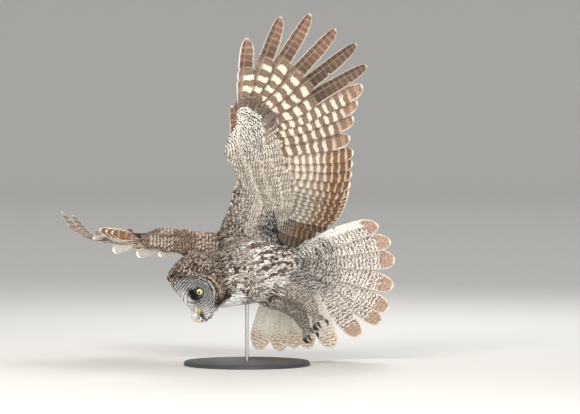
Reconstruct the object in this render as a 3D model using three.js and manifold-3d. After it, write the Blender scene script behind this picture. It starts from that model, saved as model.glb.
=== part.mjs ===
// A life-size great grey owl in a hunting glide, as a museum would mount it on a plain stand.
// Millimetres, +Z up. The owl looks towards -X and down, its left wing rises and its tail is spread.
// The origin is the middle of the stand's underside.
import * as THREE from 'three';
import { mergeVertices } from 'three/addons/utils/BufferGeometryUtils.js';
import Module from 'manifold-3d';

const wasm = await Module();
wasm.setup();

// Driving sizes
const seam = 0.3; // gap between two nodes that meet
const bodyCentre = point(30, 20, 262); // middle of the trunk over the middle of the stand
const bodyYaw = 30; // degrees the owl turns out of the XZ plane, towards -Y
const bodyPitch = 12; // degrees the body points down
const bodyRoll = 32; // degrees its left side is up
const neckDrop = point(0, -10, -15); // how far the neck carries the head off the body's axis
const neckStart = 98; // place along the body's axis where the torso ends
const headCentre = point(-141, -84, -51); // from the body's centre, as are all points below
const headBack = 38; // how far behind the head's centre the neck ends
const lookDirection = point(-0.655, -0.5, -0.565);
const headUp = point(-0.654, 0, 0.756);
const discHalfWidth = 76;
const discHalfHeight = 64;
const discDepth = 42; // how far the facial disc stands before the head's centre
const discSweep = 17; // how far the sides of the disc lie back
const discRim = 5; // how far its rim stands out at the sides
const eyeDish = 5; // depth of the hollow round each eye
const eyeDishSpread = 20;
const billRidge = 15; // height of the ridge over the bill
const browRidge = 20; // how much higher the ridge is between the eyes
const ridgeSpread = 14;
const eyeRadius = 10.8;
const eyeSpacing = 56;
const eyeOut = 31; // how far before the head's centre the eyes' centres lie
const eyeUp = 4;
const lidRadius = 9.6;
const lidThickness = 4.4;
const lidOut = 5.5; // how far before the eye's centre its lids lie
const lidTurn = 0.3; // radians that the lids turn outwards
const billWidth = 13;
const nostril = { out: 77, up: -23, radius: 1.8 };
const sliver = 0.05; // corners closer than this to their neighbours' plane are left out
const vaneEdge = 0.6; // thickness of a feather at its edges
const vaneShaft = 1.3; // thickness of a flight feather along its shaft
const standRadius = 170;
const standThickness = 12;
const standBevel = 3;
const rodRadius = 4.5;

// Stations along the trunk and neck: place along the body's axis, half width, half depth
const trunkStations = [
  [-140, 14, 10],
  [-120, 34, 26],
  [-85, 60, 52],
  [-40, 80, 74],
  [10, 92, 88],
  [55, 92, 86],
  [95, 84, 80],
  [130, 78, 76],
  [160, 74, 72],
];
// Stations through the head along the look: place, half width, height above and below the middle,
// and how far the sides of the station lie back
const headStations = [
  [-84, 24, 36, 22, 0],
  [-72, 50, 66, 46, 0],
  [-45, 73, 94, 64, 0],
  [-15, 86, 105, 67, 0],
  [15, 89, 106, 69, 6],
  [42, 87, 102, 69, 26],
  [64, 81, 92, 68, 43],
];

// Each wing: joints of its arm, the plane it lies in, its core and the set of its feathers.
// A core station is its leading point, its trailing point and its half thickness.
const leftWing = {
  mirror: 1,
  shoulder: point(-45, -38, 49),
  elbow: point(11, -20, 170),
  wrist: point(-54, -50, 313),
  handTip: point(-49, -52, 408),
  chord: point(0.955, 0.29, -0.01),
  span: point(0.03, -0.06, 0.998),
  core: [
    [point(-95, -28, 20), point(75, 14, 5), 24],
    [point(-120, -42, 86), point(66, 6, 55), 22],
    [point(-103, -49, 122), point(60, 0, 112), 17],
    [point(-84, -51, 166), point(42, -11, 172), 13],
    [point(-67, -50, 235), point(10, -25, 236), 11],
    [point(-67, -52, 305), point(-26, -41, 300), 10.5],
    [point(-65, -53, 340), point(-27, -44, 338), 9.5],
    [point(-56, -54, 411), point(-32, -50, 405), 6.5],
  ],
  primaryAngles: [8, 15, 20, 24, 29, 37, 46, 58, 70, 88],
  primaryLengths: [322, 339, 358, 384, 415, 415, 387, 363, 308, 220],
  primaryLift: () => 0,
  primaryBend: (share) => 20 + 25 * share,
  secondaryAngle: (share) => 2.8 - 13.5 * Math.min(1, share * 3.2) - 1.5 * share,
  secondaryLength: (share) => 332 - 55 * share - 42 * share ** 3,
  secondaryLift: (share) => 0.2 * share,
  tertialAngle: (share) => -12 - 10 * share,
  tertialLength: (share) => 215 - 60 * share,
  tertialLift: (share) => 0.28 + 0.4 * share,
  alulaAngle: 95,
  alulaLift: 0.03,
};
const rightWing = {
  mirror: -1,
  shoulder: point(-86, 33, -16),
  elbow: point(-181, 60, 84),
  wrist: point(-332, 85, 78),
  handTip: point(-375, 168, 87),
  chord: point(1, 0, 0),
  span: point(0, 1, 0),
  core: [
    [point(-60, -10, -30), point(-10, 60, 30), 20],
    [point(-125, 20, -8), point(-75, 95, 50), 18],
    [point(-170, 32, 12), point(-110, 110, 77), 15],
    [point(-215, 40, 32), point(-150, 110, 92), 13],
    [point(-265, 50, 54), point(-225, 105, 96), 12],
    [point(-338, 68, 67), point(-316, 108, 83), 10.5],
    [point(-360, 105, 74), point(-334, 128, 86), 9.5],
    [point(-386, 163, 83), point(-366, 178, 90), 6.5],
  ],
  primaryAngles: [65, 71, 76, 80, 85, 95, 106, 116, 126, 136],
  primaryLengths: [322, 339, 358, 384, 415, 415, 387, 363, 308, 220],
  primaryLift: () => -0.21,
  primaryBend: (share) => 20 + 380 * Math.max(0, (share - 0.35) / 0.6) ** 2.5,
  secondaryAngle: (share) => 60 - 30 * share,
  secondaryLength: (share) => 332 - 55 * share - 42 * share ** 3,
  secondaryLift: (share) => -0.22 + 0.27 * share,
  tertialAngle: (share) => 28 - 8 * share,
  tertialLength: (share) => 215 - 60 * share,
  tertialLift: () => 0.05,
  alulaAngle: 142,
  alulaLift: 0.25,
};
const fullLength = 400; // length of a primary that bends by its wing's primaryBend
const secondaryCount = 13;
const tertialCount = 4;

// The tail fan: angle of each feather in the fan's plane, left outermost first, and its length
const tailRoot = -115; // place along the body's axis
const tailMiddle = point(0.796, 0.305, -0.523);
const tailLeft = point(0.603, -0.383, 0.699);
const tailAngles = [64, 50, 37.5, 19.5, 5.4, -3.6, -17, -32.8, -45, -53, -61, -73];
const tailLengths = [252, 268, 274, 284, 303, 312, 303, 300, 286, 282, 294, 300];
const tailRootSpread = 24; // how far the outermost roots lie from the middle of the tail's root
const tailCurve = 40; // how far the outermost feathers curve back towards the middle

// Each leg: knee, heel and where the foot starts
const legs = {
  left: { knee: point(52, -53, -40), heel: point(128, -32, -84), foot: point(152, -36, -121) },
  right: { knee: point(25, 9, -76), heel: point(104, 33, -118), foot: point(128, 30, -159) },
};
const hipShare = -0.35; // where the hip lies on the line from knee to heel, inside the body
const legRadii = [31, 29, 24, 17]; // from the hip to the foot, with the feathers
const footRadius = 14;
const footLength = 18;
const toeRadius = 7.5;
const toeLength = 26;
const toeSpread = 0.72; // how far the outer toes point sideways
const talonLength = 22;
const talonRadii = [4.6, 3.8, 2.6, 0.5];

// Feather outlines: place along the feather, share of the outer and of the inner half width
const outlines = {
  finger: [[0, 0.1, 0.05], [0.16, 0.5, 0.4], [0.4, 1, 1], [0.54, 0.95, 0.92],
    [0.64, 0.9, 0.6], [0.86, 0.85, 0.58], [0.96, 0.6, 0.4], [1, 0.2, 0.1]],
  primary: [[0, 0.1, 0.05], [0.16, 0.5, 0.4], [0.45, 1, 1], [0.8, 0.95, 0.95], [0.94, 0.75, 0.65],
    [1, 0.25, 0.2]],
  secondary: [[0, 0.1, 0.05], [0.2, 0.6, 0.5], [0.5, 1, 1], [0.85, 1, 1], [0.95, 0.8, 0.75],
    [1, 0.3, 0.3]],
  tail: [[0, 0.12, 0.12], [0.2, 0.6, 0.6], [0.55, 0.9, 0.9], [0.84, 1, 1], [0.95, 0.76, 0.76],
    [1, 0.3, 0.3]],
  covert: [[0, 0.2, 0.2], [0.45, 1, 1], [0.85, 0.85, 0.85], [1, 0.3, 0.3]],
};

// Small helpers
function point(x, y, z) {
  return new THREE.Vector3(x, y, z);
}

function between(a, b, share) {
  return new THREE.Vector3().lerpVectors(a, b, share);
}

// A frame whose x looks forward, y left and z up.
function frameAt(origin, forward, up) {
  const x = forward.clone().normalize();
  const y = new THREE.Vector3().crossVectors(up, x).normalize();
  const z = new THREE.Vector3().crossVectors(x, y);
  return new THREE.Matrix4().makeBasis(x, y, z).setPosition(origin);
}

function makeBodyFrame() {
  const turn = new THREE.Euler(
    THREE.MathUtils.degToRad(-bodyRoll),
    THREE.MathUtils.degToRad(bodyPitch),
    THREE.MathUtils.degToRad(180 + bodyYaw),
    'ZYX',
  );
  return new THREE.Matrix4().makeRotationFromEuler(turn);
}

const bodyFrame = makeBodyFrame();
const headFrame = frameAt(headCentre, lookDirection, headUp);

// Solids
function solidOf(geometry) {
  const vertProperties = Float32Array.from(geometry.attributes.position.array);
  const triVerts = Uint32Array.from(geometry.index.array);
  const build = () => new wasm.Manifold(new wasm.Mesh({ numProp: 3, vertProperties, triVerts }));
  const solid = build();
  if (solid.volume() > 0) return solid;
  for (let i = 0; i < triVerts.length; i += 3) {
    [triVerts[i + 1], triVerts[i + 2]] = [triVerts[i + 2], triVerts[i + 1]];
  }
  return build();
}

// A three.js shape as a solid, each of its corners moved by the function place.
function reshape(geometry, place = (corner) => corner) {
  geometry.deleteAttribute('normal');
  geometry.deleteAttribute('uv');
  const merged = mergeVertices(geometry, 1e-4);
  const corners = merged.attributes.position;
  for (let i = 0; i < corners.count; i++) {
    const moved = place(new THREE.Vector3().fromBufferAttribute(corners, i));
    corners.setXYZ(i, moved.x, moved.y, moved.z);
  }
  return solidOf(merged);
}

// A solid over rings: each ring is a function of an angle and of a reach, 0 in the ring's middle.
function loft(rings, sides) {
  const last = rings.length - 1;
  const tube = new THREE.CylinderGeometry(1, 1, last, sides, last);
  return reshape(tube, (corner) => {
    const ring = rings[Math.round(corner.y + last / 2)];
    return ring(Math.atan2(corner.z, corner.x), Math.hypot(corner.x, corner.z));
  });
}

function oval(centre, a, b) {
  return (angle, reach) => centre.clone()
    .addScaledVector(a, Math.cos(angle) * reach)
    .addScaledVector(b, Math.sin(angle) * reach);
}

// A round limb along a curve, with radii evenly along it.
function limb(line, radii, sides, count) {
  const rings = [];
  for (let i = 0; i <= count; i++) {
    const share = i / count;
    const at = share * (radii.length - 1);
    const low = Math.min(Math.floor(at), radii.length - 2);
    const radius = THREE.MathUtils.lerp(radii[low], radii[low + 1], at - low);
    const frame = frameAt(line.getPoint(share), line.getTangent(share), point(0.2, 0.9, 0.4));
    const a = point(0, radius, 0).transformDirection(frame).multiplyScalar(radius);
    const b = point(0, 0, radius).transformDirection(frame).multiplyScalar(radius);
    rings.push(oval(line.getPoint(share), a, b));
  }
  return loft(rings, sides);
}

function ball(centre, radius, sides, rings) {
  return reshape(new THREE.SphereGeometry(radius, sides, rings), (corner) => corner.add(centre));
}

// A thin closed plate over a grid, with the same split into triangles on both of its faces.
function plate(columns, rows, pointAt) {
  const grid = new THREE.PlaneGeometry(1, 1, columns, rows);
  const top = [...grid.index.array];
  const count = (columns + 1) * (rows + 1);
  const corners = [];
  for (const face of [1, -1]) {
    for (let row = 0; row <= rows; row++) {
      for (let column = 0; column <= columns; column++) {
        corners.push(...pointAt(column, row, face).toArray());
      }
    }
  }
  const triangles = [...top];
  for (let i = 0; i < top.length; i += 3) {
    triangles.push(top[i] + count, top[i + 2] + count, top[i + 1] + count);
  }
  const border = [];
  const at = (column, row) => row * (columns + 1) + column;
  for (let row = 0; row < rows; row++) border.push(at(0, row));
  for (let column = 0; column < columns; column++) border.push(at(column, rows));
  for (let row = rows; row > 0; row--) border.push(at(columns, row));
  for (let column = columns; column > 0; column--) border.push(at(column, 0));
  border.forEach((from, i) => {
    const to = border[(i + 1) % border.length];
    triangles.push(to, from, from + count, to, from + count, to + count);
  });
  const geometry = new THREE.BufferGeometry();
  geometry.setAttribute('position', new THREE.Float32BufferAttribute(corners, 3));
  geometry.setIndex(triangles);
  return solidOf(geometry);
}

function joined(solids) {
  return wasm.Manifold.union(solids);
}

// The largest closed surface of a solid, without the slivers that joining leaves.
function largest(solid) {
  return solid.decompose()
    .reduce((best, next) => (next.volume() > best.volume() ? next : best))
    .asOriginal()
    .simplify(sliver);
}

// Feathers
// root: where its quill starts. along: the way it points. up: its dorsal side. lead: its outer side.
// outer and inner: half widths of its vanes. tilt: degrees its outer vane rises over its inner one.
function feather({
  root, along, up, lead, length, outer, inner, outline,
  bend = 0, sweep = 0, tilt = 6, shaft = true,
}) {
  const columns = shaft ? 2 : 1;
  const stations = outlines[outline];
  const slope = Math.tan(THREE.MathUtils.degToRad(tilt));
  return plate(columns, stations.length - 1, (column, row, face) => {
    const [place, outerShare, innerShare] = stations[row];
    const across = column === 0 ? outer * outerShare : column === columns ? -inner * innerShare : 0;
    const thick = shaft && column === 1 ? vaneShaft : vaneEdge;
    return root.clone()
      .addScaledVector(along, length * place)
      .addScaledVector(lead, across - sweep * place ** 2)
      .addScaledVector(up, across * slope + bend * place ** 3 + (face * thick) / 2);
  });
}

// The frame of a feather in a wing: angle from the chord towards the tip, lift to the dorsal side.
function quillFrame(wing, angle, lift) {
  const normal = new THREE.Vector3().crossVectors(wing.chord, wing.span).normalize();
  if (wing.mirror > 0) normal.negate();
  const turn = THREE.MathUtils.degToRad(angle);
  const along = wing.chord.clone().multiplyScalar(Math.cos(turn))
    .addScaledVector(wing.span, Math.sin(turn))
    .addScaledVector(normal, lift)
    .normalize();
  const up = normal.addScaledVector(along, -normal.dot(along)).normalize();
  const lead = new THREE.Vector3().crossVectors(along, up).multiplyScalar(wing.mirror);
  return { along, up, lead };
}

// The flight feathers of a wing, from the innermost primary out, then in along the arm.
function flightQuills(wing) {
  const primaries = wing.primaryAngles.map((angle, i) => {
    const share = (i + 0.5) / wing.primaryAngles.length;
    return {
      kind: i > 3 ? 'finger' : 'primary',
      root: between(wing.wrist, wing.handTip, share),
      length: wing.primaryLengths[i],
      bend: wing.primaryBend(share) * (wing.primaryLengths[i] / fullLength) ** 3,
      sweep: 8,
      outer: 12,
      inner: 30,
      tilt: 7.5,
      ...quillFrame(wing, angle, wing.primaryLift(share)),
    };
  });
  const secondaries = Array.from({ length: secondaryCount }, (_, i) => {
    const share = (i + 0.5) / secondaryCount;
    return {
      kind: 'secondary',
      root: between(wing.wrist, wing.elbow, share),
      length: wing.secondaryLength(share),
      bend: 14 - 8 * share,
      outer: 17,
      inner: 27,
      tilt: 5.5,
      ...quillFrame(wing, wing.secondaryAngle(share), wing.secondaryLift(share)),
    };
  });
  const tertials = Array.from({ length: tertialCount }, (_, i) => {
    const share = (i + 0.5) / tertialCount;
    return {
      kind: 'secondary',
      root: between(wing.elbow, wing.shoulder, share * 0.7),
      length: wing.tertialLength(share),
      bend: 6,
      outer: 17,
      inner: 25,
      tilt: 5.5,
      ...quillFrame(wing, wing.tertialAngle(share), wing.tertialLift(share)),
    };
  });
  return { primaries, secondaries, tertials };
}

function flightVanes({ primaries, secondaries, tertials }) {
  const strong = primaries.map((quill) => feather({ ...quill, outline: quill.kind }));
  const plain = [...secondaries, ...tertials]
    .map((quill) => feather({ ...quill, outline: quill.kind, shaft: false }));
  return [...strong, ...plain];
}

// One tier of coverts over some quills: face 1 lies on the dorsal side and -1 on the ventral one.
// back is how far before a quill's root it starts, with spread more by the tier's end, and rise and
// clear are its height at its root and tip.
function covertTier(quills, face, { back, rise, clear, reach, width, tilt, spread = 0, every = 1 }) {
  return quills.filter((_, i) => i % every === 0).map((quill, i, chosen) => {
    const length = quill.length * reach;
    const along = quill.along.clone().multiplyScalar(length)
      .addScaledVector(quill.up, face * (clear - rise)).normalize();
    const root = quill.root.clone()
      .addScaledVector(quill.along, -back - (spread * i) / chosen.length)
      .addScaledVector(quill.up, face * rise);
    return feather({
      ...quill,
      root,
      along,
      length,
      tilt: tilt ?? quill.tilt,
      outer: width * 0.45,
      inner: width * 0.55,
      sweep: 0,
      bend: quill.bend * reach ** 3,
      outline: 'covert',
      shaft: false,
    });
  });
}

function wingCore(wing) {
  const lead = new THREE.CatmullRomCurve3(wing.core.map((station) => station[0]));
  const trail = new THREE.CatmullRomCurve3(wing.core.map((station) => station[1]));
  const up = quillFrame(wing, 0, 0).up;
  const last = wing.core.length - 1;
  const rings = wing.core.map(([, , half], i) => {
    const front = lead.getPoint(i / last);
    const rear = trail.getPoint(i / last);
    const a = rear.clone().sub(front).multiplyScalar(0.5);
    const b = up.clone().addScaledVector(a, -up.dot(a) / a.lengthSq()).normalize()
      .multiplyScalar(half);
    return oval(between(front, rear, 0.5), a, b);
  });
  return loft(rings, 10);
}

function alula(wing) {
  const frame = quillFrame(wing, wing.alulaAngle, wing.alulaLift);
  return [0, 1, 2].map((i) => feather({
    root: wing.wrist.clone().addScaledVector(wing.chord, -8).addScaledVector(frame.along, -8 * i)
      .addScaledVector(frame.up, -1.5 * i),
    ...frame,
    length: 128 - 24 * i,
    outer: 8,
    inner: 12,
    outline: 'covert',
    tilt: 4,
    bend: 4,
    shaft: false,
  }));
}

function makeWing(wing, body) {
  const quills = flightQuills(wing);
  const arm = [...quills.secondaries, ...quills.tertials];
  const coverts = [1, -1].flatMap((face) => [
    ...covertTier(quills.primaries, face,
      { back: 6, rise: 4, clear: 7.5 - face * 1.5, reach: 0.36, width: 24, tilt: 5.5 }),
    ...covertTier(arm, face,
      { back: 6, spread: 8, rise: 6, clear: 10 - face * 2, reach: 0.4, width: 27, tilt: 5.5, every: 2 }),
    ...covertTier(arm, face,
      { back: 6, spread: 36, rise: 6, clear: 6 + face, reach: 0.27, width: 30, tilt: 3, every: 3 }),
  ]);
  const feathers = [...flightVanes(quills), ...coverts, ...alula(wing)];
  return largest(joined([wingCore(wing), ...feathers]).subtract(body));
}

// Trunk, neck and head. grow makes the same form larger all round, for cutting what meets it.
function makeTrunk(grow) {
  const stations = new THREE.CatmullRomCurve3(trunkStations.map((s) => point(...s)));
  const count = 14;
  const rings = [];
  for (let i = 0; i <= count; i++) {
    const { x, y: halfWidth, z: halfDepth } = stations.getPoint(i / count);
    const drop = neckDrop.clone().multiplyScalar(THREE.MathUtils.smoothstep(x, 60, 176));
    const centre = point(x + (i === 0 ? -grow : 0), 0, 0).add(drop).applyMatrix4(bodyFrame);
    const a = point(0, 1, 0).transformDirection(bodyFrame).multiplyScalar(halfWidth + grow);
    const b = point(0, 0, 1).transformDirection(bodyFrame).multiplyScalar(halfDepth + grow);
    rings.push(oval(centre, a, b));
  }
  return loft(rings, 28);
}

// How far the face stands in front of the head's centre, at a place left and up from its middle.
function faceDepth(left, up) {
  const brow = THREE.MathUtils.smoothstep(up, -30, -12);
  const ridge = (billRidge + browRidge * brow) * Math.exp(-((left / ridgeSpread) ** 2));
  const fromEye = Math.hypot(Math.abs(left) - eyeSpacing / 2, up - eyeUp);
  const dish = eyeDish * Math.exp(-((fromEye / eyeDishSpread) ** 2));
  return discDepth + ridge - dish - discSweep * (left / discHalfWidth) ** 2;
}

function makeHead(grow) {
  const skull = headStations.map(([place, halfWidth, above, below, back], i) => (angle, reach) => {
    const height = Math.sin(angle) > 0 ? above : below;
    return point(
      place - (i === 0 ? grow : 0) - back * (Math.cos(angle) * reach) ** 2,
      Math.cos(angle) * reach * (halfWidth + grow),
      Math.sin(angle) * reach * (height + grow),
    ).applyMatrix4(headFrame);
  });
  const faceShares = [1, 0.9, 0.74, 0.56, 0.38, 0.2, 0.08];
  const face = faceShares.map((share) => (angle, reach) => {
    const left = Math.cos(angle) * reach * discHalfWidth * share;
    const up = Math.sin(angle) * reach * discHalfHeight * share;
    const rim = share === 1 ? discRim * Math.abs(Math.cos(angle)) : 0;
    return point(faceDepth(left, up) + rim + 2 * grow, left, up).applyMatrix4(headFrame);
  });
  return loft([...skull, ...face], 36);
}

const eyeSides = { left: 1, right: -1 };

function eyeCentre(side) {
  return point(eyeOut, (side * eyeSpacing) / 2, eyeUp).applyMatrix4(headFrame);
}

function eyelid(side) {
  const ring = new THREE.TorusGeometry(lidRadius, lidThickness / 2, 5, 14);
  const place = new THREE.Matrix4().makeRotationZ(side * lidTurn)
    .multiply(new THREE.Matrix4().makeRotationY(Math.PI / 2))
    .setPosition(eyeOut + lidOut, (side * eyeSpacing) / 2, eyeUp)
    .premultiply(headFrame);
  return reshape(ring, (corner) => corner.applyMatrix4(place));
}

// Stations along a mandible: place before the head's centre, place above it, half width, half depth
function mandible(stations) {
  const rings = stations.map(([out, up, halfWidth, halfDepth], i) => {
    const [nextOut, nextUp] = stations[Math.min(i + 1, stations.length - 1)];
    const [lastOut, lastUp] = stations[Math.max(i - 1, 0)];
    const way = point(nextOut - lastOut, 0, nextUp - lastUp).normalize();
    const side = point(0, halfWidth, 0);
    const depth = point(-way.z * halfDepth, 0, way.x * halfDepth);
    return (angle, reach) => oval(point(out, 0, up), side, depth)(angle, reach)
      .applyMatrix4(headFrame);
  });
  return loft(rings, 12);
}

const upperBill = [[58, -18, 1, 6], [70, -20, 1, 7], [79, -27, 0.85, 7], [83, -38, 0.6, 6],
  [83, -50, 0.35, 4], [80, -60, 0.1, 0.8]];
const lowerBill = [[54, -38, 0.8, 4], [66, -41, 0.75, 4], [72, -46, 0.5, 3], [75, -51, 0.12, 0.8]];

// Stations of the bill with their widths as sizes, grown all round for cutting.
function billStations(stations, grow) {
  return stations.map(([out, up, width, depth]) => [
    out, up, (width * billWidth) / 2 + grow, depth + grow,
  ]);
}

function makeBill(head) {
  const upper = mandible(billStations(upperBill, 0));
  const lower = mandible(billStations(lowerBill, 0));
  const nostrils = [1, -1].map((side) => ball(
    point(nostril.out, (side * billWidth) / 2.1, nostril.up).applyMatrix4(headFrame), nostril.radius, 8, 6,
  ));
  return {
    bill_upper: largest(upper.subtract(head).subtract(joined(nostrils))),
    bill_lower: largest(lower.subtract(head).subtract(mandible(billStations(upperBill, seam)))),
  };
}

// Tail
function makeTail(body) {
  const middle = tailMiddle.clone().normalize();
  const left = tailLeft.clone().normalize();
  const dorsal = new THREE.Vector3().crossVectors(left, middle).normalize();
  const root = point(tailRoot, 0, 0).applyMatrix4(bodyFrame);
  const fanPoint = (turn, length) => middle.clone().multiplyScalar(Math.cos(turn) * length)
    .addScaledVector(left, Math.sin(turn) * length);
  const quills = tailAngles.map((angle, i) => {
    const turn = THREE.MathUtils.degToRad(angle);
    const outwards = Math.sin(turn);
    const order = Math.abs(i - (tailAngles.length - 1) / 2);
    const start = left.clone().multiplyScalar(tailRootSpread * outwards)
      .addScaledVector(dorsal, 5 - 1.1 * order);
    const chord = fanPoint(turn, tailLengths[i]).sub(start);
    const curve = tailCurve * outwards ** 2;
    const side = new THREE.Vector3().crossVectors(chord, dorsal).normalize()
      .multiplyScalar(Math.sign(outwards));
    const along = chord.clone().addScaledVector(side, curve).normalize();
    const lead = new THREE.Vector3().crossVectors(along, dorsal).multiplyScalar(Math.sign(outwards));
    return {
      root: start.add(root),
      along,
      up: dorsal,
      lead,
      length: chord.length(),
      outer: 24,
      inner: 27,
      tilt: 5,
      bend: -14,
      sweep: curve,
    };
  });
  const rectrices = quills.map((quill) => feather({ ...quill, outline: 'tail' }));
  const coverts = [1, -1].flatMap((face) => [
    ...covertTier(quills, face,
      { back: 6, rise: 11, clear: 12, reach: 0.42, width: 46, tilt: 1, every: 2 }),
    ...covertTier(quills.slice(1), face,
      { back: 14, rise: 17, clear: 17, reach: 0.28, width: 48, tilt: 1, every: 2 }),
  ]);
  const rump = [[-40, 30, 26], [-14, 42, 28], [14, 46, 24], [36, 38, 17], [46, 20, 8]].map(
    ([place, halfWidth, halfDepth]) => oval(
      root.clone().addScaledVector(middle, place),
      left.clone().multiplyScalar(halfWidth),
      dorsal.clone().multiplyScalar(halfDepth),
    ),
  );
  return largest(joined([loft(rump, 16), ...rectrices, ...coverts]).subtract(body));
}

// Legs and feet
function makeLeg(leg, body) {
  const hip = between(leg.knee, leg.heel, hipShare);
  const line = new THREE.CatmullRomCurve3([hip, leg.knee, leg.heel, leg.foot]);
  return largest(limb(line, legRadii, 14, 9).subtract(body));
}

// Four toes curl from the end of the shin, three forward and one back, each with its talon.
function toeLine(leg, index) {
  const shin = leg.foot.clone().sub(leg.heel).normalize();
  const forward = point(-0.8, -0.5, 0).addScaledVector(shin, 0.3).normalize();
  const side = new THREE.Vector3().crossVectors(shin, forward).normalize();
  const sideways = [-toeSpread, 0, toeSpread, 0][index];
  const way = forward.clone().multiplyScalar(index === 3 ? -0.9 : 1)
    .addScaledVector(side, sideways).normalize();
  const start = leg.foot.clone().addScaledVector(shin, 8);
  const bendPoint = start.clone().addScaledVector(way, toeLength * 0.5)
    .addScaledVector(shin, toeLength * 0.35);
  const tip = start.clone().addScaledVector(way, toeLength * 0.75)
    .addScaledVector(shin, toeLength * 0.8);
  return { toe: new THREE.QuadraticBezierCurve3(start, bendPoint, tip), way, shin };
}

function makeFoot(leg) {
  const shin = leg.foot.clone().sub(leg.heel).normalize();
  const top = leg.foot.clone().addScaledVector(shin, seam);
  const sole = new THREE.LineCurve3(top, top.clone().addScaledVector(shin, footLength));
  const palm = limb(sole, [footRadius, 9], 12, 2);
  const toes = [0, 1, 2, 3].map((i) => limb(
    toeLine(leg, i).toe, [toeRadius, toeRadius, toeRadius * 0.75], 8, 4,
  ));
  return largest(joined([palm, ...toes]));
}

function makeTalon(leg, index) {
  const { toe, way, shin } = toeLine(leg, index);
  const toeWay = toe.getTangent(1);
  const start = toe.getPoint(1).addScaledVector(toeWay, seam);
  const line = new THREE.QuadraticBezierCurve3(
    start,
    start.clone().addScaledVector(toeWay, talonLength * 0.5),
    start.clone().addScaledVector(shin, talonLength * 0.8).addScaledVector(way, -talonLength * 0.25),
  );
  return limb(line, talonRadii, 6, 4);
}

// Stand
function makeStand(body) {
  const outline = [
    [0, 0], [standRadius - 1, 0], [standRadius, 1], [standRadius, standThickness - standBevel],
    [standRadius - standBevel, standThickness], [0, standThickness],
  ].map((corner) => new THREE.Vector2(...corner));
  const base = new THREE.LatheGeometry(outline, 48);
  const onFloor = (corner) => point(corner.x, -corner.z, corner.y).sub(bodyCentre);
  const rod = new THREE.CylinderGeometry(rodRadius, rodRadius, bodyCentre.z, 20);
  const middle = standThickness + seam + bodyCentre.z / 2;
  const rodSolid = reshape(rod, (c) => point(c.x, -c.z, c.y + middle).sub(bodyCentre));
  return {
    stand_base: reshape(base, onFloor),
    stand_rod: largest(rodSolid.subtract(body)),
  };
}

// The whole owl: each name with its solid
function makeSolids() {
  const whole = joined([makeTrunk(0), makeHead(0), eyelid(1), eyelid(-1)]);
  const body = joined([makeTrunk(seam), makeHead(seam)]);
  const sockets = [1, -1].map((side) => ball(eyeCentre(side), eyeRadius + seam, 14, 8));
  const carved = whole.subtract(joined(sockets));
  const forward = point(1, 0, 0).transformDirection(bodyFrame);
  const look = lookDirection.clone().normalize().lerp(forward, 0.4).normalize();
  const headStart = headCentre.dot(look) - headBack;
  const front = carved.trimByPlane(forward.toArray(), neckStart + seam);
  const solids = {
    torso: largest(carved.trimByPlane(forward.clone().negate().toArray(), -neckStart)),
    neck: largest(front.trimByPlane(look.clone().negate().toArray(), -headStart)),
    head: largest(front.trimByPlane(look.toArray(), headStart + seam)),
    tail: makeTail(body),
    wing_left: makeWing(leftWing, body),
    wing_right: makeWing(rightWing, body),
    ...makeBill(makeHead(seam)),
    ...makeStand(body),
  };
  for (const [side, sign] of Object.entries(eyeSides)) {
    solids[`eye_${side}`] = ball(eyeCentre(sign), eyeRadius, 14, 8);
    solids[`leg_${side}`] = makeLeg(legs[side], body);
    solids[`foot_${side}`] = makeFoot(legs[side]);
    for (let i = 0; i < 4; i++) solids[`talon_${side}_${i + 1}`] = makeTalon(legs[side], i);
  }
  return solids;
}

// Finishes
const finishes = {
  body: { color: 0x8c8780, roughness: 0.9 },
  wing: { color: 0x7d6a59, roughness: 0.8 },
  tail: { color: 0xb5aca0, roughness: 0.8 },
  leg: { color: 0x8f8578, roughness: 0.9 },
  eye: { color: 0xe8c21a, roughness: 0.15 },
  bill: { color: 0xd9b44a, roughness: 0.35 },
  talon: { color: 0x2a2724, roughness: 0.3 },
  stand: { color: 0x3b3b3d, roughness: 0.45, metalness: 0.2 },
};

function finishFor(name) {
  const first = name.split('_')[0];
  const use = { head: 'body', neck: 'body', torso: 'body', foot: 'leg' }[first] ?? first;
  return new THREE.MeshStandardMaterial(finishes[use]);
}

function meshOf(name, solid) {
  const { vertProperties, triVerts } = solid.getMesh();
  const geometry = new THREE.BufferGeometry();
  geometry.setAttribute('position', new THREE.BufferAttribute(vertProperties, 3));
  geometry.setIndex([...triVerts]);
  geometry.computeVertexNormals();
  const mesh = new THREE.Mesh(geometry, finishFor(name));
  mesh.name = name;
  return mesh;
}

const owl = new THREE.Group();
owl.position.copy(bodyCentre);
for (const [name, solid] of Object.entries(makeSolids())) owl.add(meshOf(name, solid));

const model = new THREE.Group();
model.add(owl);

export default model;
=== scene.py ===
"""A life-size great grey owl in a hunting glide: its plumage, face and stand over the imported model.

Sizes are millimetres about the middle of the trunk, as in the model's own source, and place() turns
them into the frame's metres. The owl looks towards -X and down, and its left wing rises.
"""

import math

import bmesh
import bpy
import numpy as np
from mathutils import Matrix, Vector
from mathutils.bvhtree import BVHTree


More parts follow.
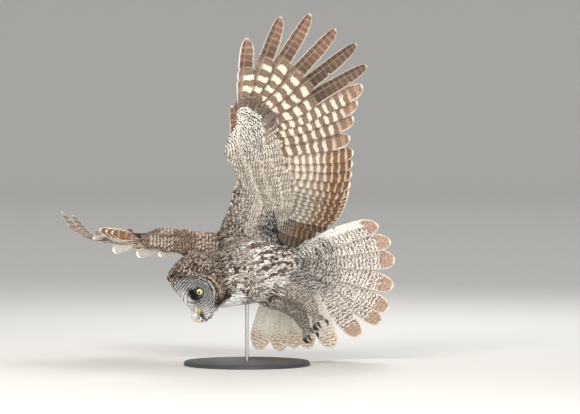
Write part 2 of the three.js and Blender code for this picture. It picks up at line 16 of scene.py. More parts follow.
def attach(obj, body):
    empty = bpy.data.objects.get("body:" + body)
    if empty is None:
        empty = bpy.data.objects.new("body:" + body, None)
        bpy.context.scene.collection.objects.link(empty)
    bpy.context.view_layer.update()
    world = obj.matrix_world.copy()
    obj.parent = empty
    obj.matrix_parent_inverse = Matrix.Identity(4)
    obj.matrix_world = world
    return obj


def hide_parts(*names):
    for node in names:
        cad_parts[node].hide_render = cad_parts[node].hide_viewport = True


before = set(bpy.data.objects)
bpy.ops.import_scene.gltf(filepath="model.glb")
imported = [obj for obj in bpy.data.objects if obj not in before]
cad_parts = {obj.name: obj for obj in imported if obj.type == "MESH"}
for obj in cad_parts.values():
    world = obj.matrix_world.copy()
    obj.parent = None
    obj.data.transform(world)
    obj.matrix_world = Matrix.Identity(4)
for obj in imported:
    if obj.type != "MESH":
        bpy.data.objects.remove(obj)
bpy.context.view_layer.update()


# Small helpers for places and sizes
def vec(*numbers):
    return np.array(numbers, float)


def unit(vectors):
    return vectors / np.linalg.norm(vectors, axis=-1, keepdims=True)


def mix(a, b, share):
    return a + (b - a) * share


def smoothstep(low, high, x):
    share = np.clip((x - low) / (high - low), 0, 1)
    return share * share * (3 - 2 * share)


def turned(axis, degrees):
    return np.array(Matrix.Rotation(math.radians(degrees), 3, axis))


body_centre = vec(30, 20, 262)  # middle of the trunk over the middle of the stand's underside


def place(points):
    return (np.asarray(points, float) + body_centre) / 1000


# Driving sizes, the same as the model's
body_axes = turned("Z", 210) @ turned("Y", 12) @ turned("X", -32)  # forward, left, back
head_centre = vec(-141, -84, -51)
look = unit(vec(-0.655, -0.5, -0.565))
head_left = unit(np.cross(vec(-0.654, 0, 0.756), look))
head_axes = np.column_stack([look, head_left, np.cross(look, head_left)])
trunk_radius = 84
disc_half_width = 76
disc_half_height = 64
eye_radius = 10.8
eye_out = 31
eye_side = 28
eye_up = 4
bill_width = 13
tail_place = -115
# Painted shade is centred here: feathers round it are darkened as shade in the hollow under the raised
# wing
axilla_place = vec(28, -22, 104)  # the hollow under the raised wing

wings = {
    "wing_left": {
        "mirror": 1,
        "shoulder": vec(-45, -38, 49),
        "elbow": vec(11, -20, 170),
        "wrist": vec(-54, -50, 313),
        "hand_tip": vec(-49, -52, 408),
        "chord": vec(0.955, 0.29, -0.01),
        "span": vec(0.03, -0.06, 0.998),
        "core": [
            (vec(-95, -28, 20), vec(75, 14, 5), 24),
            (vec(-120, -42, 86), vec(66, 6, 55), 22),
            (vec(-103, -49, 122), vec(60, 0, 112), 17),
            (vec(-84, -51, 166), vec(42, -11, 172), 13),
            (vec(-67, -50, 235), vec(10, -25, 236), 11),
            (vec(-67, -52, 305), vec(-26, -41, 300), 10.5),
            (vec(-65, -53, 340), vec(-27, -44, 338), 9.5),
            (vec(-56, -54, 411), vec(-32, -50, 405), 6.5),
        ],
        "primary_angles": [8, 15, 20, 24, 29, 37, 46, 58, 70, 88],
        "primary_lift": lambda s: 0,
        "primary_bend": lambda s: 20 + 25 * s,
        "secondary_angle": lambda s: 2.8 - 13.5 * min(1, s * 3.2) - 1.5 * s,
        "secondary_lift": lambda s: 0.2 * s,
        "tertial_angle": lambda s: -12 - 10 * s,
        "tertial_lift": lambda s: 0.28 + 0.4 * s,
        "finger_width": 1,
        "alula": (95, 0.03),
    },
    "wing_right": {
        "mirror": -1,
        "shoulder": vec(-86, 33, -16),
        "elbow": vec(-181, 60, 84),
        "wrist": vec(-332, 85, 78),
        "hand_tip": vec(-375, 168, 87),
        "chord": vec(1, 0, 0),
        "span": vec(0, 1, 0),
        "core": [
            (vec(-60, -10, -30), vec(-10, 60, 30), 20),
            (vec(-125, 20, -8), vec(-75, 95, 50), 18),
            (vec(-170, 32, 12), vec(-110, 110, 77), 15),
            (vec(-215, 40, 32), vec(-150, 110, 92), 13),
            (vec(-265, 50, 54), vec(-225, 105, 96), 12),
            (vec(-338, 68, 67), vec(-316, 108, 83), 10.5),
            (vec(-360, 105, 74), vec(-334, 128, 86), 9.5),
            (vec(-386, 163, 83), vec(-366, 178, 90), 6.5),
        ],
        "primary_angles": [65, 71, 76, 80, 85, 95, 106, 116, 126, 136],
        "primary_lift": lambda s: -0.21,
        "primary_bend": lambda s: 20 + 380 * max(0, (s - 0.35) / 0.6) ** 2.5,
        "secondary_angle": lambda s: 60 - 30 * s,
        "secondary_lift": lambda s: -0.22 + 0.27 * s,
        "tertial_angle": lambda s: 28 - 8 * s,
        "tertial_lift": lambda s: 0.05,
        "finger_width": 0.72,
        "alula": (142, 0.25),
    },
}
primary_lengths = [322, 339, 358, 384, 415, 415, 387, 363, 308, 220]
primary_arm_shares = [0.7, 0.55, 0.4, 0.25, 0.1, 0, 0, 0, 0, 0]  # how like the arm's their coverts are
secondary_count = 13
tertial_count = 4

tail_middle = unit(vec(0.796, 0.305, -0.523))
tail_left = unit(vec(0.603, -0.383, 0.699))
tail_dorsal = unit(np.cross(tail_left, tail_middle))
tail_angles = [64, 50, 37.5, 19.5, 5.4, -3.6, -17, -32.8, -45, -53, -61, -73]
tail_lengths = [252, 268, 274, 284, 303, 312, 303, 300, 286, 282, 294, 300]
tail_inner = [33, 33, 42, 34, 30, 30, 34, 36, 33, 31, 31, 36]  # widths that close the fan

legs = {
    "left": {"knee": vec(52, -53, -40), "heel": vec(128, -32, -84), "foot": vec(152, -36, -121)},
    "right": {"knee": vec(25, 9, -76), "heel": vec(104, 33, -118), "foot": vec(128, 30, -159)},
}

# Feather outlines: place along the feather, share of the outer and of the inner half width
outlines = {
    "finger": [(0, 0.1, 0.05), (0.16, 0.5, 0.4), (0.4, 1, 1), (0.5, 1, 1.02), (0.6, 1.02, 0.84),
               (0.8, 1.0, 0.78), (0.92, 0.8, 0.6), (1, 0.45, 0.35)],
    "primary": [(0, 0.1, 0.05), (0.16, 0.5, 0.4), (0.45, 1, 1), (0.84, 0.98, 1), (0.95, 0.8, 0.75),
                (1, 0.6, 0.55)],
    "secondary": [(0, 0.1, 0.05), (0.2, 0.6, 0.5), (0.5, 1, 1), (0.9, 1, 1), (1, 0.85, 0.9)],
    "tail": [(0, 0.15, 0.15), (0.2, 0.65, 0.7), (0.5, 1, 1.06), (0.75, 1, 1), (0.9, 0.97, 0.84),
             (1, 0.85, 0.7)],
    "covert": [(0, 0.25, 0.25), (0.45, 1, 1), (0.85, 0.95, 0.95), (1, 0.7, 0.7)],
    "pointed": [(0, 0.25, 0.25), (0.5, 1, 1), (0.75, 0.9, 0.9), (0.92, 0.55, 0.55), (1, 0.3, 0.3)],
}


def body_point(x, y=0, z=0):
    return body_axes @ vec(x, y, z)


def head_point(out, left, up):
    return head_centre + head_axes @ vec(out, left, up)


def to_head(points):
    return (points - head_centre) @ head_axes


# Camera at the photograph's angle, with a long lens from a dozen metres away
photo_width = 580
photo_middle = (290, 207)
millimetres_per_pixel = 2.7
view_middle = vec(86.4, 0, 164.7)
camera_distance = 12.0
camera_elevation = 2.0
sensor_width = 36


def aim(obj, direction):
    """Turns a lamp or the camera to look this way, upright."""
    obj.rotation_euler = direction.to_track_quat("-Z", "Y").to_euler()


def make_camera():
    data = bpy.data.cameras.new("Camera")
    camera = bpy.data.objects.new("Camera", data)
    bpy.context.collection.objects.link(camera)
    data.sensor_width = sensor_width
    data.lens = sensor_width * camera_distance / (photo_width * millimetres_per_pixel / 1000)
    data.clip_end = 60
    slope = math.radians(camera_elevation)
    away = Vector((0, -math.cos(slope), math.sin(slope)))
    camera.location = Vector(place(view_middle)) + away * camera_distance
    aim(camera, -away)
    bpy.context.scene.camera = camera


# Colours and nodes
def linear(hex_code, alpha=1.0):
    channels = [int(hex_code[i:i + 2], 16) / 255 for i in (1, 3, 5)]
    curved = [c / 12.92 if c <= 0.04045 else ((c + 0.055) / 1.055) ** 2.4 for c in channels]
    return (*curved, alpha)


def rgb(colour):
    """The three channels of a hex colour, or colours that are linear already, as they are."""
    return np.array(linear(colour)[:3]) if isinstance(colour, str) else colour


def tint(first, second, share):
    """Two colours blended by a share for each place."""
    return mix(rgb(first), rgb(second), np.asarray(share)[..., None])


def new_material(name):
    material = bpy.data.materials.new(name)
    material.use_nodes = True
    return material, material.node_tree, material.node_tree.nodes["Principled BSDF"]


def fill(tree, node, inputs):
    """Sets a node's inputs: each to a number or a colour, or to the output that it links to."""
    for socket, value in inputs.items():
        if isinstance(value, bpy.types.NodeSocket):
            tree.links.new(value, node.inputs[socket])
        else:
            node.inputs[socket].default_value = value


def add(tree, kind, inputs, **settings):
    """Adds one node with its settings and its inputs' values and links, and gives its outputs."""
    node = tree.nodes.new("ShaderNode" + kind)
    for name, value in settings.items():
        setattr(node, name, value)
    fill(tree, node, inputs)
    return node.outputs


# Meshes and pieces
def finish_piece(mesh, slot, material, *replaced):
    piece = bpy.data.objects.new(mesh.name, mesh)
    mesh.materials.append(material)
    bpy.context.collection.objects.link(piece)
    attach(piece, "root")
    if replaced:
        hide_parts(*replaced)


def read(items, key, width, kind=float):
    """What Blender holds under this key, as one row for each item."""
    values = np.empty(len(items) * width, kind)
    items.foreach_get(key, values)
    return values.reshape(-1, width)


def add_layer(mesh, key, values):
    """A point attribute: a colour for the two that hold paint, and otherwise a number or a vector."""
    values = np.asarray(values, np.float32)
    if key in ("Ground", "Marks"):
        kind, field = "FLOAT_COLOR", "color"
        values = np.column_stack([values, np.ones(len(values), np.float32)])
    elif values.ndim == 1:
        kind, field = "FLOAT", "value"
    else:
        kind, field = "FLOAT_VECTOR", "vector"
    mesh.attributes.new(key, kind, "POINT").data.foreach_set(field, values.ravel())


def array_mesh(name, points, quads, attributes, bake_map):
    """A mesh from arrays of millimetre points and of quads, with point attributes and a UV map."""
    mesh = bpy.data.meshes.new(name)
    mesh.vertices.add(len(points))
    mesh.vertices.foreach_set("co", place(points).ravel().astype(np.float32))
    mesh.loops.add(quads.size)
    mesh.loops.foreach_set("vertex_index", quads.ravel().astype(np.int32))
    mesh.polygons.add(len(quads))
    mesh.polygons.foreach_set("loop_start", np.arange(0, quads.size, 4, dtype=np.int32))
    mesh.polygons.foreach_set("use_smooth", np.ones(len(quads), dtype=bool))
    for key, values in attributes.items():
        add_layer(mesh, key, values)
    layer = mesh.uv_layers.new(name="OFBake")
    layer.data.foreach_set("uv", np.asarray(bake_map, np.float32)[quads.ravel()].ravel())
    mesh.update(calc_edges=True)
    mesh.validate()
    return mesh


def bmesh_mesh(name, bm):
    """A smooth mesh from a bmesh, which is freed."""
    for face in bm.faces:
        face.smooth = True
    mesh = bpy.data.meshes.new(name)
    bm.to_mesh(mesh)
    bm.free()
    return mesh


def placed_mesh(name, bm):
    """A mesh in the frame's metres from a bmesh in millimetres about the trunk."""
    bmesh.ops.transform(bm, matrix=Matrix.Translation(Vector(body_centre)), verts=bm.verts)
    bmesh.ops.scale(bm, vec=(0.001, 0.001, 0.001), verts=bm.verts)
    return bmesh_mesh(name, bm)


def oval(centre, a, b):
    return lambda angle: centre + a * math.cos(angle) + b * math.sin(angle)


def loft(rings, sides, bm=None, closed=True):
    """A tube through rings, each a function from an angle to a point."""
    bm = bmesh.new() if bm is None else bm
    first = last = None
    for ring in rings:
        corners = bmesh.ops.create_circle(bm, segments=sides, radius=1)["verts"]
        for i, corner in enumerate(corners):
            corner.co = Vector(ring(2 * math.pi * i / sides))
        edges = [bm.edges.get((corners[i], corners[(i + 1) % sides])) for i in range(sides)]
        if last:
            bmesh.ops.bridge_loops(bm, edges=last + edges)
        first = first or edges
        last = edges
    if closed:
        bmesh.ops.contextual_create(bm, geom=first)
        bmesh.ops.contextual_create(bm, geom=last)
    bmesh.ops.recalc_face_normals(bm, faces=bm.faces)
    return bm


# Feather frames of the wings and the tail, as in the model
def quill_frame(wing, angle, lift):
    normal = unit(np.cross(wing["chord"], wing["span"])) * -wing["mirror"]
    turn = math.radians(angle)
    along = unit(wing["chord"] * math.cos(turn) + wing["span"] * math.sin(turn) + normal * lift)
    up = unit(normal - along * (normal @ along))
    return {"along": along, "up": up, "lead": np.cross(along, up) * wing["mirror"]}


def flight_quills(wing):
    """The primaries, and the secondaries and tertials along the arm."""
    primaries = []
    for i, angle in enumerate(wing["primary_angles"]):
        share = (i + 0.5) / len(primary_lengths)
        slim = wing["finger_width"] if i > 4 else 1
        primaries.append({
            "kind": "finger" if i > 3 else "primary", "number": i,
            "root": mix(wing["wrist"], wing["hand_tip"], share),
            "length": primary_lengths[i],
            "bend": wing["primary_bend"](share) * (primary_lengths[i] / 400) ** 3,
            "sweep": 8, "outer": 15 * slim, "inner": 33 * slim, "tilt": 7.5, "round": 26,
            "arm_share": primary_arm_shares[i],
            **quill_frame(wing, angle, wing["primary_lift"](share)),
        })
    arm = []
    for i in range(secondary_count):
        share = (i + 0.5) / secondary_count
        arm.append({
            "kind": "secondary", "number": i,
            "root": mix(wing["wrist"], wing["elbow"], share),
            "length": 332 - 55 * share - 42 * share ** 3,
            "bend": 14 - 8 * share,
            "sweep": 0, "outer": 18, "inner": 29, "tilt": 5.5, "round": 46,
            "arm_share": min(1, 0.8 + 0.1 * i),
            **quill_frame(wing, wing["secondary_angle"](share), wing["secondary_lift"](share)),
        })
    for i in range(tertial_count):
        share = (i + 0.5) / tertial_count
        arm.append({
            "kind": "secondary", "number": secondary_count + i,
            "root": mix(wing["elbow"], wing["shoulder"], share * 0.7),
            "length": 248 - 45 * share,
            "bend": 6, "sweep": 0, "outer": 17, "inner": 25, "tilt": 5.5, "round": 26,
            "arm_share": 1,
            **quill_frame(wing, wing["tertial_angle"](share), wing["tertial_lift"](share)),
        })
    return primaries, arm


def tail_quills():
    root = body_point(tail_place)
    quills = []
    for i, angle in enumerate(tail_angles):
        turn = math.radians(angle)
        outwards = math.sin(turn)
        sign = math.copysign(1, outwards)
        start = tail_left * 24 * outwards + tail_dorsal * (5 - 1.1 * abs(i - 5.5))
        tip = (tail_middle * math.cos(turn) + tail_left * outwards) * tail_lengths[i]
        curve = 40 * outwards ** 2
        side = unit(np.cross(tip - start, tail_dorsal)) * sign
        along = unit(tip - start + side * curve)
        quills.append({
            "kind": "tail", "number": i, "root": root + start, "length": np.linalg.norm(tip - start),
            "along": along, "up": tail_dorsal, "lead": np.cross(along, tail_dorsal) * sign,
            "outer": 26, "inner": tail_inner[i], "tilt": 4, "bend": -14, "sweep": curve, "round": 34,
            "arm_share": 1,
        })
    return quills


def between_quills(quills, count, rng):
    """A count of quills spread evenly between the given ones, each a little out of line."""
    made = []
    for spot in np.linspace(0, len(quills) - 1, count):
        low = min(int(spot), len(quills) - 2)
        quill = dict(quills[low])
        for key in ("root", "along", "up", "lead", "length", "bend", "arm_share"):
            quill[key] = mix(quill[key], quills[low + 1][key], spot - low)
        quill["root"] = quill["root"] + quill["along"] * rng.uniform(-5, 5)
        quill["along"] = unit(quill["along"] + quill["lead"] * rng.normal(0, 0.05))
        quill["up"] = unit(quill["up"] - quill["along"] * (quill["along"] @ quill["up"]))
        lead = np.cross(quill["along"], quill["up"])
        quill["lead"] = unit(lead) * np.sign(lead @ quill["lead"])
        quill["length"] = quill["length"] * rng.uniform(0.93, 1.07)
        made.append(quill)
    return made


def covert_tier(quills, face, back, rise, clear, reaches, width, tilt, zone, rng, kind="covert"):
    """One tier of coverts over some quills: face 1 on the dorsal side and -1 on the ventral one.

    They start this far behind the quills' roots, rise above the quills there and clear them at their
    tips. Their reach is a share of the quill's length, first on the hand and then on the arm.
    """
    tier = []
    for quill in quills:
        reach = mix(*reaches, quill["arm_share"])
        length = quill["length"] * reach
        wide = width * rng.uniform(0.9, 1.12)
        tier.append({
            **quill,
            "kind": kind, "zone": zone,
            "root": quill["root"] - quill["along"] * back + quill["up"] * face * rise,
            "along": unit(quill["along"] * length + quill["up"] * face * (clear - rise)),
            "length": length, "outer": wide * 0.47, "inner": wide * 0.53,
            "tilt": tilt, "sweep": 0, "bend": quill["bend"] * reach ** 3, "round": 16,
        })
    return tier


# Large feathers: each a closed plate of two grids, bent, tapered and split like the real vane
flight_grid = (64, 13)  # rows along the feather and columns across it
tail_grid = (64, 15)
alula_grid = (26, 7)
covert_grid = (8, 4)
vane_thickness = (0.3, 0.9)  # at the edges and beside the shaft
vane_crown = 1.8  # how far the edges curl down
split_width = 2.2


def plate_quads(rows, columns):
    grid = np.arange(rows * columns).reshape(rows, columns)
    top = np.stack([grid[:-1, :-1], grid[:-1, 1:], grid[1:, 1:], grid[1:, :-1]], -1).reshape(-1, 4)
    border = np.concatenate([grid[0, :-1], grid[:-1, -1], grid[-1, :0:-1], grid[:0:-1, 0]])
    ahead = np.roll(border, -1)
    under = rows * columns
    rim = np.stack([border, border + under, ahead + under, ahead], -1)
    return np.concatenate([top, top[:, ::-1] + under, rim])


def outline_at(kind, places):
    """The shares of the outer and the inner half width at these places, softly rounded."""
    stations = np.array(outlines[kind])
    fine = np.linspace(-0.1, 1.1, 241)
    window = np.hanning(25)
    window /= window.sum()
    shares = []
    for column in (1, 2):
        raw = np.interp(fine, stations[:, 0], stations[:, column])
        shares.append(np.interp(places, fine, np.convolve(raw, window, mode="same")))
    return shares


def vane_grid(quill, rows, columns, rng, splits):
    """Points and vane coordinates of one feather: an upper and a lower grid."""
    length = quill["length"]
    places = np.linspace(0, 1, rows)
    places = 1 - (1 - places) ** (1.25 if rows > 12 else 2)  # rows stand closer towards the tip
    near_tip = np.clip(1 - (1 - places) * length / quill["round"], 0, 1)
    tip_round = np.sqrt(np.clip(1 - near_tip ** 2, 0.0004, 1))
    outer, inner = outline_at(quill["kind"], places)
    outer = outer * tip_round * quill["outer"]
    inner = inner * tip_round * quill["inner"]
    for edge in (outer, inner):
        for _ in range(rng.integers(0, splits + 1)):
            gap = rng.uniform(0.45, 0.97)
            edge -= edge * rng.uniform(0.1, 0.4) * np.exp(-(((places - gap) * length / split_width) ** 2))
        edge *= 1 + rng.normal(0, 0.012, rows)
    shares = np.linspace(1, -1, columns)
    shares = np.sign(shares) * np.abs(shares) ** 0.85
    across = np.where(shares > 0, shares * outer[:, None], shares * inner[:, None])
    places = places[:, None]
    along = length * places + 0 * across
    bow = -vane_crown * shares ** 2 * np.sin(math.pi * np.clip(places, 0, 0.9))
    rise = across * math.tan(math.radians(quill["tilt"])) + quill["bend"] * places ** 3 + bow
    thick = mix(*vane_thickness, (1 - np.abs(shares)) ** 2) * mix(1, 0.5, places)
    sideways = across - quill["sweep"] * places ** 2
    seed = rng.uniform(0, 1000)
    vane = np.stack([across, length - along, seed + 0 * across], -1)
    sheets, shapes = [], []
    for face in (1, -1):
        sheets.append(
            quill["root"] + quill["along"] * along[..., None] + quill["lead"] * sideways[..., None]
            + quill["up"] * (rise + face * thick / 2)[..., None]
        )
        shapes.append(np.stack([shares + 0 * across, places + 0 * across, face + 0 * across], -1))
    grids = [np.stack(sheets), np.stack([vane, vane]), np.stack(shapes)]
    if np.cross(quill["lead"], quill["along"]) @ quill["up"] > 0:
        grids = [grid[:, :, ::-1] for grid in grids]
    return [grid.reshape(-1, 3) for grid in grids]


def large_feathers(name, quills, grid, rng, paint, splits):
    """One mesh of plates, each painted and with two strips of the map, one for each face."""
    rows, columns = grid
    points, strips, painted_on = [], [], {}
    for i, quill in enumerate(quills):
        corners, vane, shape = vane_grid(quill, rows, columns, rng, splits)
        points.append(corners)
        slot = (2 * i + (shape[:, 2] < 0) + 0.5 + 0.42 * shape[:, 0]) / (2 * len(quills))
        strips.append(np.stack([slot, 0.02 + 0.96 * shape[:, 1]], -1))
        for key, values in {"Vane": vane, "Shape": shape, **paint(quill, vane, shape, rng)}.items():
            painted_on.setdefault(key, []).append(values)
    attributes = {key: np.concatenate(values) for key, values in painted_on.items()}
    quads = repeated_quads(plate_quads(rows, columns), len(quills), 2 * rows * columns)
    return array_mesh(name, np.concatenate(points), quads, attributes, np.concatenate(strips))


def repeated_quads(quads, count, step):
    """The same faces for a count of feathers, whose points follow each other by this step."""
    return (quads[None] + (np.arange(count) * step)[:, None, None]).reshape(-1, 4)


def tube_quads(rings, sides):
    """The faces round a row of rings, each (ring corner, next corner, and both one ring on)."""
    a = np.arange((rings - 1) * sides)
    b = a - a % sides + (a + 1) % sides
    return np.stack([a, b, b + sides, a + sides], -1)


def feather_shafts(name, quills, radius):
    """The pale shafts of large feathers: slim tapered tubes that show on both faces."""
    sides, rings = 6, 18
    places = np.linspace(0, 0.975, rings)
    thick = radius * mix(1, 0.22, places)[:, None, None]
    angles = np.arange(sides)[:, None] * 2 * math.pi / sides
    points, strips = [], []
    for i, quill in enumerate(quills):
        centre = (
            quill["root"] + quill["along"] * (quill["length"] * places)[:, None]
            - quill["lead"] * (quill["sweep"] * places ** 2)[:, None]
            + quill["up"] * (quill["bend"] * places ** 3)[:, None]
        )
        circle = quill["lead"] * np.cos(angles) + quill["up"] * np.sin(angles) * 0.85
        if np.cross(quill["lead"], quill["up"]) @ quill["along"] < 0:
            circle = circle[::-1]
        points.append((centre[:, None] + circle * thick).reshape(-1, 3))
        u = (i + 0.2 + 0.6 * np.arange(sides) / sides)[None] / len(quills)
        strips.append(np.stack(np.broadcast_arrays(u, places[:, None]), -1).reshape(-1, 2))
    quads = repeated_quads(tube_quads(rings, sides), len(quills), sides * rings)
    return array_mesh(name, np.concatenate(points), quads, {}, np.concatenate(strips))


# Which part of the owl a place belongs to: the line through each part and its radius
def toe_way(leg, index):
    shin = unit(leg["foot"] - leg["heel"])
    forward = unit(vec(-0.8, -0.5, 0) + 0.3 * shin)
    side = unit(np.cross(shin, forward))
    sideways = (-0.72, 0, 0.72, 0)[index]
    return unit(forward * (-0.9 if index == 3 else 1) + side * sideways), shin


def toe_points(leg, index):
    way, shin = toe_way(leg, index)
    start = leg["foot"] + 8 * shin
    return [start, start + way * 13 + shin * 9.1, start + way * 19.5 + shin * 20.8]


part_lines = {
    "trunk": ([body_point(-118), body_point(85)], trunk_radius),
    "neck": ([body_point(100), body_point(128) + vec(0, -8, -12)], 78),
    "head": ([head_point(-45, 0, 12), head_point(30, 0, 12)], 84),
}
wing_middles = {
    name: np.array([(front + rear) / 2 for front, rear, _ in wing["core"]])
    for name, wing in wings.items()
}
for wing_name, wing_radius in (("wing_left", 40), ("wing_right", 36)):
    part_lines[wing_name] = (wing_middles[wing_name][1:], wing_radius)
for leg_side, leg_joints in legs.items():
    part_lines["leg_" + leg_side] = (list(leg_joints.values()), 25)
    for toe in range(4):
        part_lines[f"toe_{leg_side}_{toe}"] = (toe_points(leg_joints, toe), 8)

quill_sets = {name: flight_quills(wing) for name, wing in wings.items()}
wing_flow = {}
for wing_name, (hand_quills, arm_quills) in quill_sets.items():
    wing_flow[wing_name] = [
        np.array([quill[key] for quill in hand_quills + arm_quills]) for key in ("root", "along")
    ]


def to_line(points, line):
    """Distance from each point to a line of joints, and the way of its nearest stretch."""
    best = np.full(len(points), np.inf)
    way = np.zeros_like(points)
    for a, b in zip(line[:-1], line[1:]):
        stretch = b - a
        share = np.clip((points - a) @ stretch / (stretch @ stretch), 0, 1)
        distance = np.linalg.norm(points - a - share[:, None] * stretch, axis=1)
        nearer = distance < best
        best[nearer] = distance[nearer]
        way[nearer] = unit(stretch)
    return best, way


def eye_offset(local):
    """Offset of places on the face from the nearer eye, left and up, and the distance."""
    side = np.where(local[:, 1] > 0, 1, -1)
    offset = np.stack([local[:, 1] - side * eye_side, local[:, 2] - eye_up], -1)
    return offset, np.linalg.norm(offset, axis=1)


def disc_share(local):
    return np.hypot(local[:, 1] / disc_half_width, local[:, 2] / disc_half_height)


def share_of(shares, *starts):
    """The summed shares of the parts whose names start so."""
    return sum(shares[name] for name in shares if name.startswith(starts))


def flow_and_parts(points):
    """The way that feathers lie at each place, and each place's share in the parts of the owl."""
    local = to_head(points)
    total = np.zeros_like(points)
    weights = {}
    for name, (line, radius) in part_lines.items():
        distance, way = to_line(points, line)
        weights[name] = (radius / np.maximum(distance, 1)) ** 8
        if name in ("trunk", "neck"):
            way = np.tile(-body_axes[:, 0], (len(points), 1))
        elif name == "head":
            away = local * vec(0, 1, 1) - vec(0, 0, 10)
            away = away / np.maximum(np.linalg.norm(away, axis=1, keepdims=True), 1)
            way = (away * 0.55 + vec(-1, 0, 0)) @ head_axes.T
        elif name in wing_flow:
            roots, ways = wing_flow[name]
            gap = np.linalg.norm(points[:, None] - roots[None], axis=2)
            near = 1 / np.maximum(gap, 5) ** 2
            way = near @ ways / near.sum(1, keepdims=True)
        total += way * weights[name][:, None]
    stacked = np.stack(list(weights.values()))
    stacked /= stacked.sum(0)
    on_face = (disc_share(local) < 0.99) & (local[:, 0] > 18)
    offset, distance = eye_offset(local)
    radial = np.zeros_like(points)
    radial[:, 1:] = offset / np.maximum(distance, 1)[:, None]
    between = np.exp(-((local[:, 1] / 12) ** 2))
    radial[:, 2] += between * np.sign(local[:, 2] + 22) * 1.2
    total[on_face] = (radial @ head_axes.T)[on_face]
    return unit(total), dict(zip(weights, stacked)), on_face


# The skin: one closed surface inside the flesh nodes and the arms of the wings
skin_nodes = ("torso", "neck", "head", "leg_left", "leg_right", "foot_left", "foot_right")
arm_inset = 1.5
voxel_metres = 0.003
smoothing_rounds = 6


def core_rings(wing, shrink):
    up = quill_frame(wing, 0, 0)["up"]
    stations = wing["core"]
    rings = []
    for i in range(len(stations) * 2 - 1):
        low = stations[i // 2]
        high = stations[min(i // 2 + 1, len(stations) - 1)]
        front, rear, radius = (mix(low[k], high[k], (i % 2) / 2) for k in range(3))
        a = (rear - front) / 2
        b = unit(up - a * (up @ a) / (a @ a)) * (radius - shrink)
        rings.append(oval((front + rear) / 2, a * (1 - shrink / np.linalg.norm(a)), b))
    return rings


class Skin:
    """The owl's skin with what laying feathers on it needs."""

    def __init__(self, mesh):
        mesh.calc_loop_triangles()
        self.points = read(mesh.vertices, "co", 3) * 1000 - body_centre
        self.normals = read(mesh.vertices, "normal", 3)
        self.corners = read(mesh.loop_triangles, "vertices", 3, np.int32)
        loops = read(mesh.loop_triangles, "loops", 3, np.int32)
        self.uvs = read(mesh.uv_layers["OFBake"].data, "uv", 2)[loops]
        a, b, c = (self.points[self.corners[:, k]] for k in range(3))
        self.areas = np.linalg.norm(np.cross(b - a, c - a), axis=1) / 2
        self.tree = BVHTree.FromPolygons(self.points.tolist(), self.corners.tolist())

    def blend(self, triangles, shares):
        corners = self.corners[triangles]
        where = (self.points[corners] * shares[..., None]).sum(1)
        normal = unit((self.normals[corners] * shares[..., None]).sum(1))
        return where, normal, (self.uvs[triangles] * shares[..., None]).sum(1)

    def scatter(self, count, rng):
        triangles = rng.choice(len(self.areas), count, p=self.areas / self.areas.sum())
        return self.blend(triangles, rng.dirichlet((1, 1, 1), count))

    def nearest(self, points):
        hits = [self.tree.find_nearest(point) for point in points]
        found = np.array([hit[0][:] for hit in hits])
        triangles = np.array([hit[2] for hit in hits])
        a, b, c = (self.points[self.corners[triangles, k]] for k in range(3))
        v0, v1, v2 = b - a, c - a, found - a
        pairs = ((v0, v0), (v0, v1), (v1, v1), (v2, v0), (v2, v1))
        d00, d01, d11, d20, d21 = ((p * q).sum(1) for p, q in pairs)
        scale = np.maximum(d00 * d11 - d01 * d01, 1e-9)
        second = (d11 * d20 - d01 * d21) / scale
        third = (d00 * d21 - d01 * d20) / scale
        shares = np.clip(np.stack([1 - second - third, second, third], -1), 0, 1)
        return self.blend(triangles, shares / shares.sum(1, keepdims=True))


def skin_depth(shares, on_face):
    """How far the skin lies under the model's surface at each place: the coat's depth."""
    thin = 2.5 * share_of(shares, "leg", "toe")
    depth = 6 - thin - 2.5 * share_of(shares, "wing") - 1.5 * shares["head"]
    return np.where(on_face, 2.2, depth - 1.5 * share_of(shares, "toe"))


def make_skin():
    bm = bmesh.new()
    for name in skin_nodes:
        bm.from_mesh(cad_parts[name].data)
    bmesh.ops.remove_doubles(bm, verts=bm.verts, dist=0.00001)
    arms = bmesh.new()
    for wing in wings.values():
        loft(core_rings(wing, arm_inset), 20, arms)
    bm.from_mesh(placed_mesh("Arms", arms))
    rough = bpy.data.objects.new("Rough", bmesh_mesh("Rough", bm))
    bpy.context.collection.objects.link(rough)
    remesh = rough.modifiers.new("Remesh", "REMESH")
    remesh.mode = "VOXEL"
    remesh.voxel_size = voxel_metres
    bm = bmesh.new()
    bm.from_mesh(rough.evaluated_get(bpy.context.evaluated_depsgraph_get()).to_mesh())
    bpy.data.objects.remove(rough)
    for _ in range(smoothing_rounds):
        bmesh.ops.smooth_vert(bm, verts=bm.verts, factor=0.5,
                              use_axis_x=True, use_axis_y=True, use_axis_z=True)
    mesh = bmesh_mesh("Skin", bm)
    points = read(mesh.vertices, "co", 3) * 1000 - body_centre
    _, shares, on_face = flow_and_parts(points)
    points -= read(mesh.vertices, "normal", 3) * skin_depth(shares, on_face)[:, None]
    mesh.vertices.foreach_set("co", place(points).ravel())
    mesh.update()
    unwrap(mesh)
    return mesh


def unwrap(mesh):
    """Gives a mesh its map for the export's colours, on an object that is there only for that."""
    mesh.uv_layers.new(name="OFBake")
    carrier = bpy.data.objects.new("Unwrapped", mesh)
    bpy.context.collection.objects.link(carrier)
    bpy.context.view_layer.objects.active = carrier
    carrier.select_set(True)
    bpy.ops.object.mode_set(mode="EDIT")
    bpy.ops.mesh.select_all(action="SELECT")
    bpy.ops.uv.smart_project(angle_limit=math.radians(66), island_margin=0.002)
    bpy.ops.object.mode_set(mode="OBJECT")
    bpy.data.objects.remove(carrier)


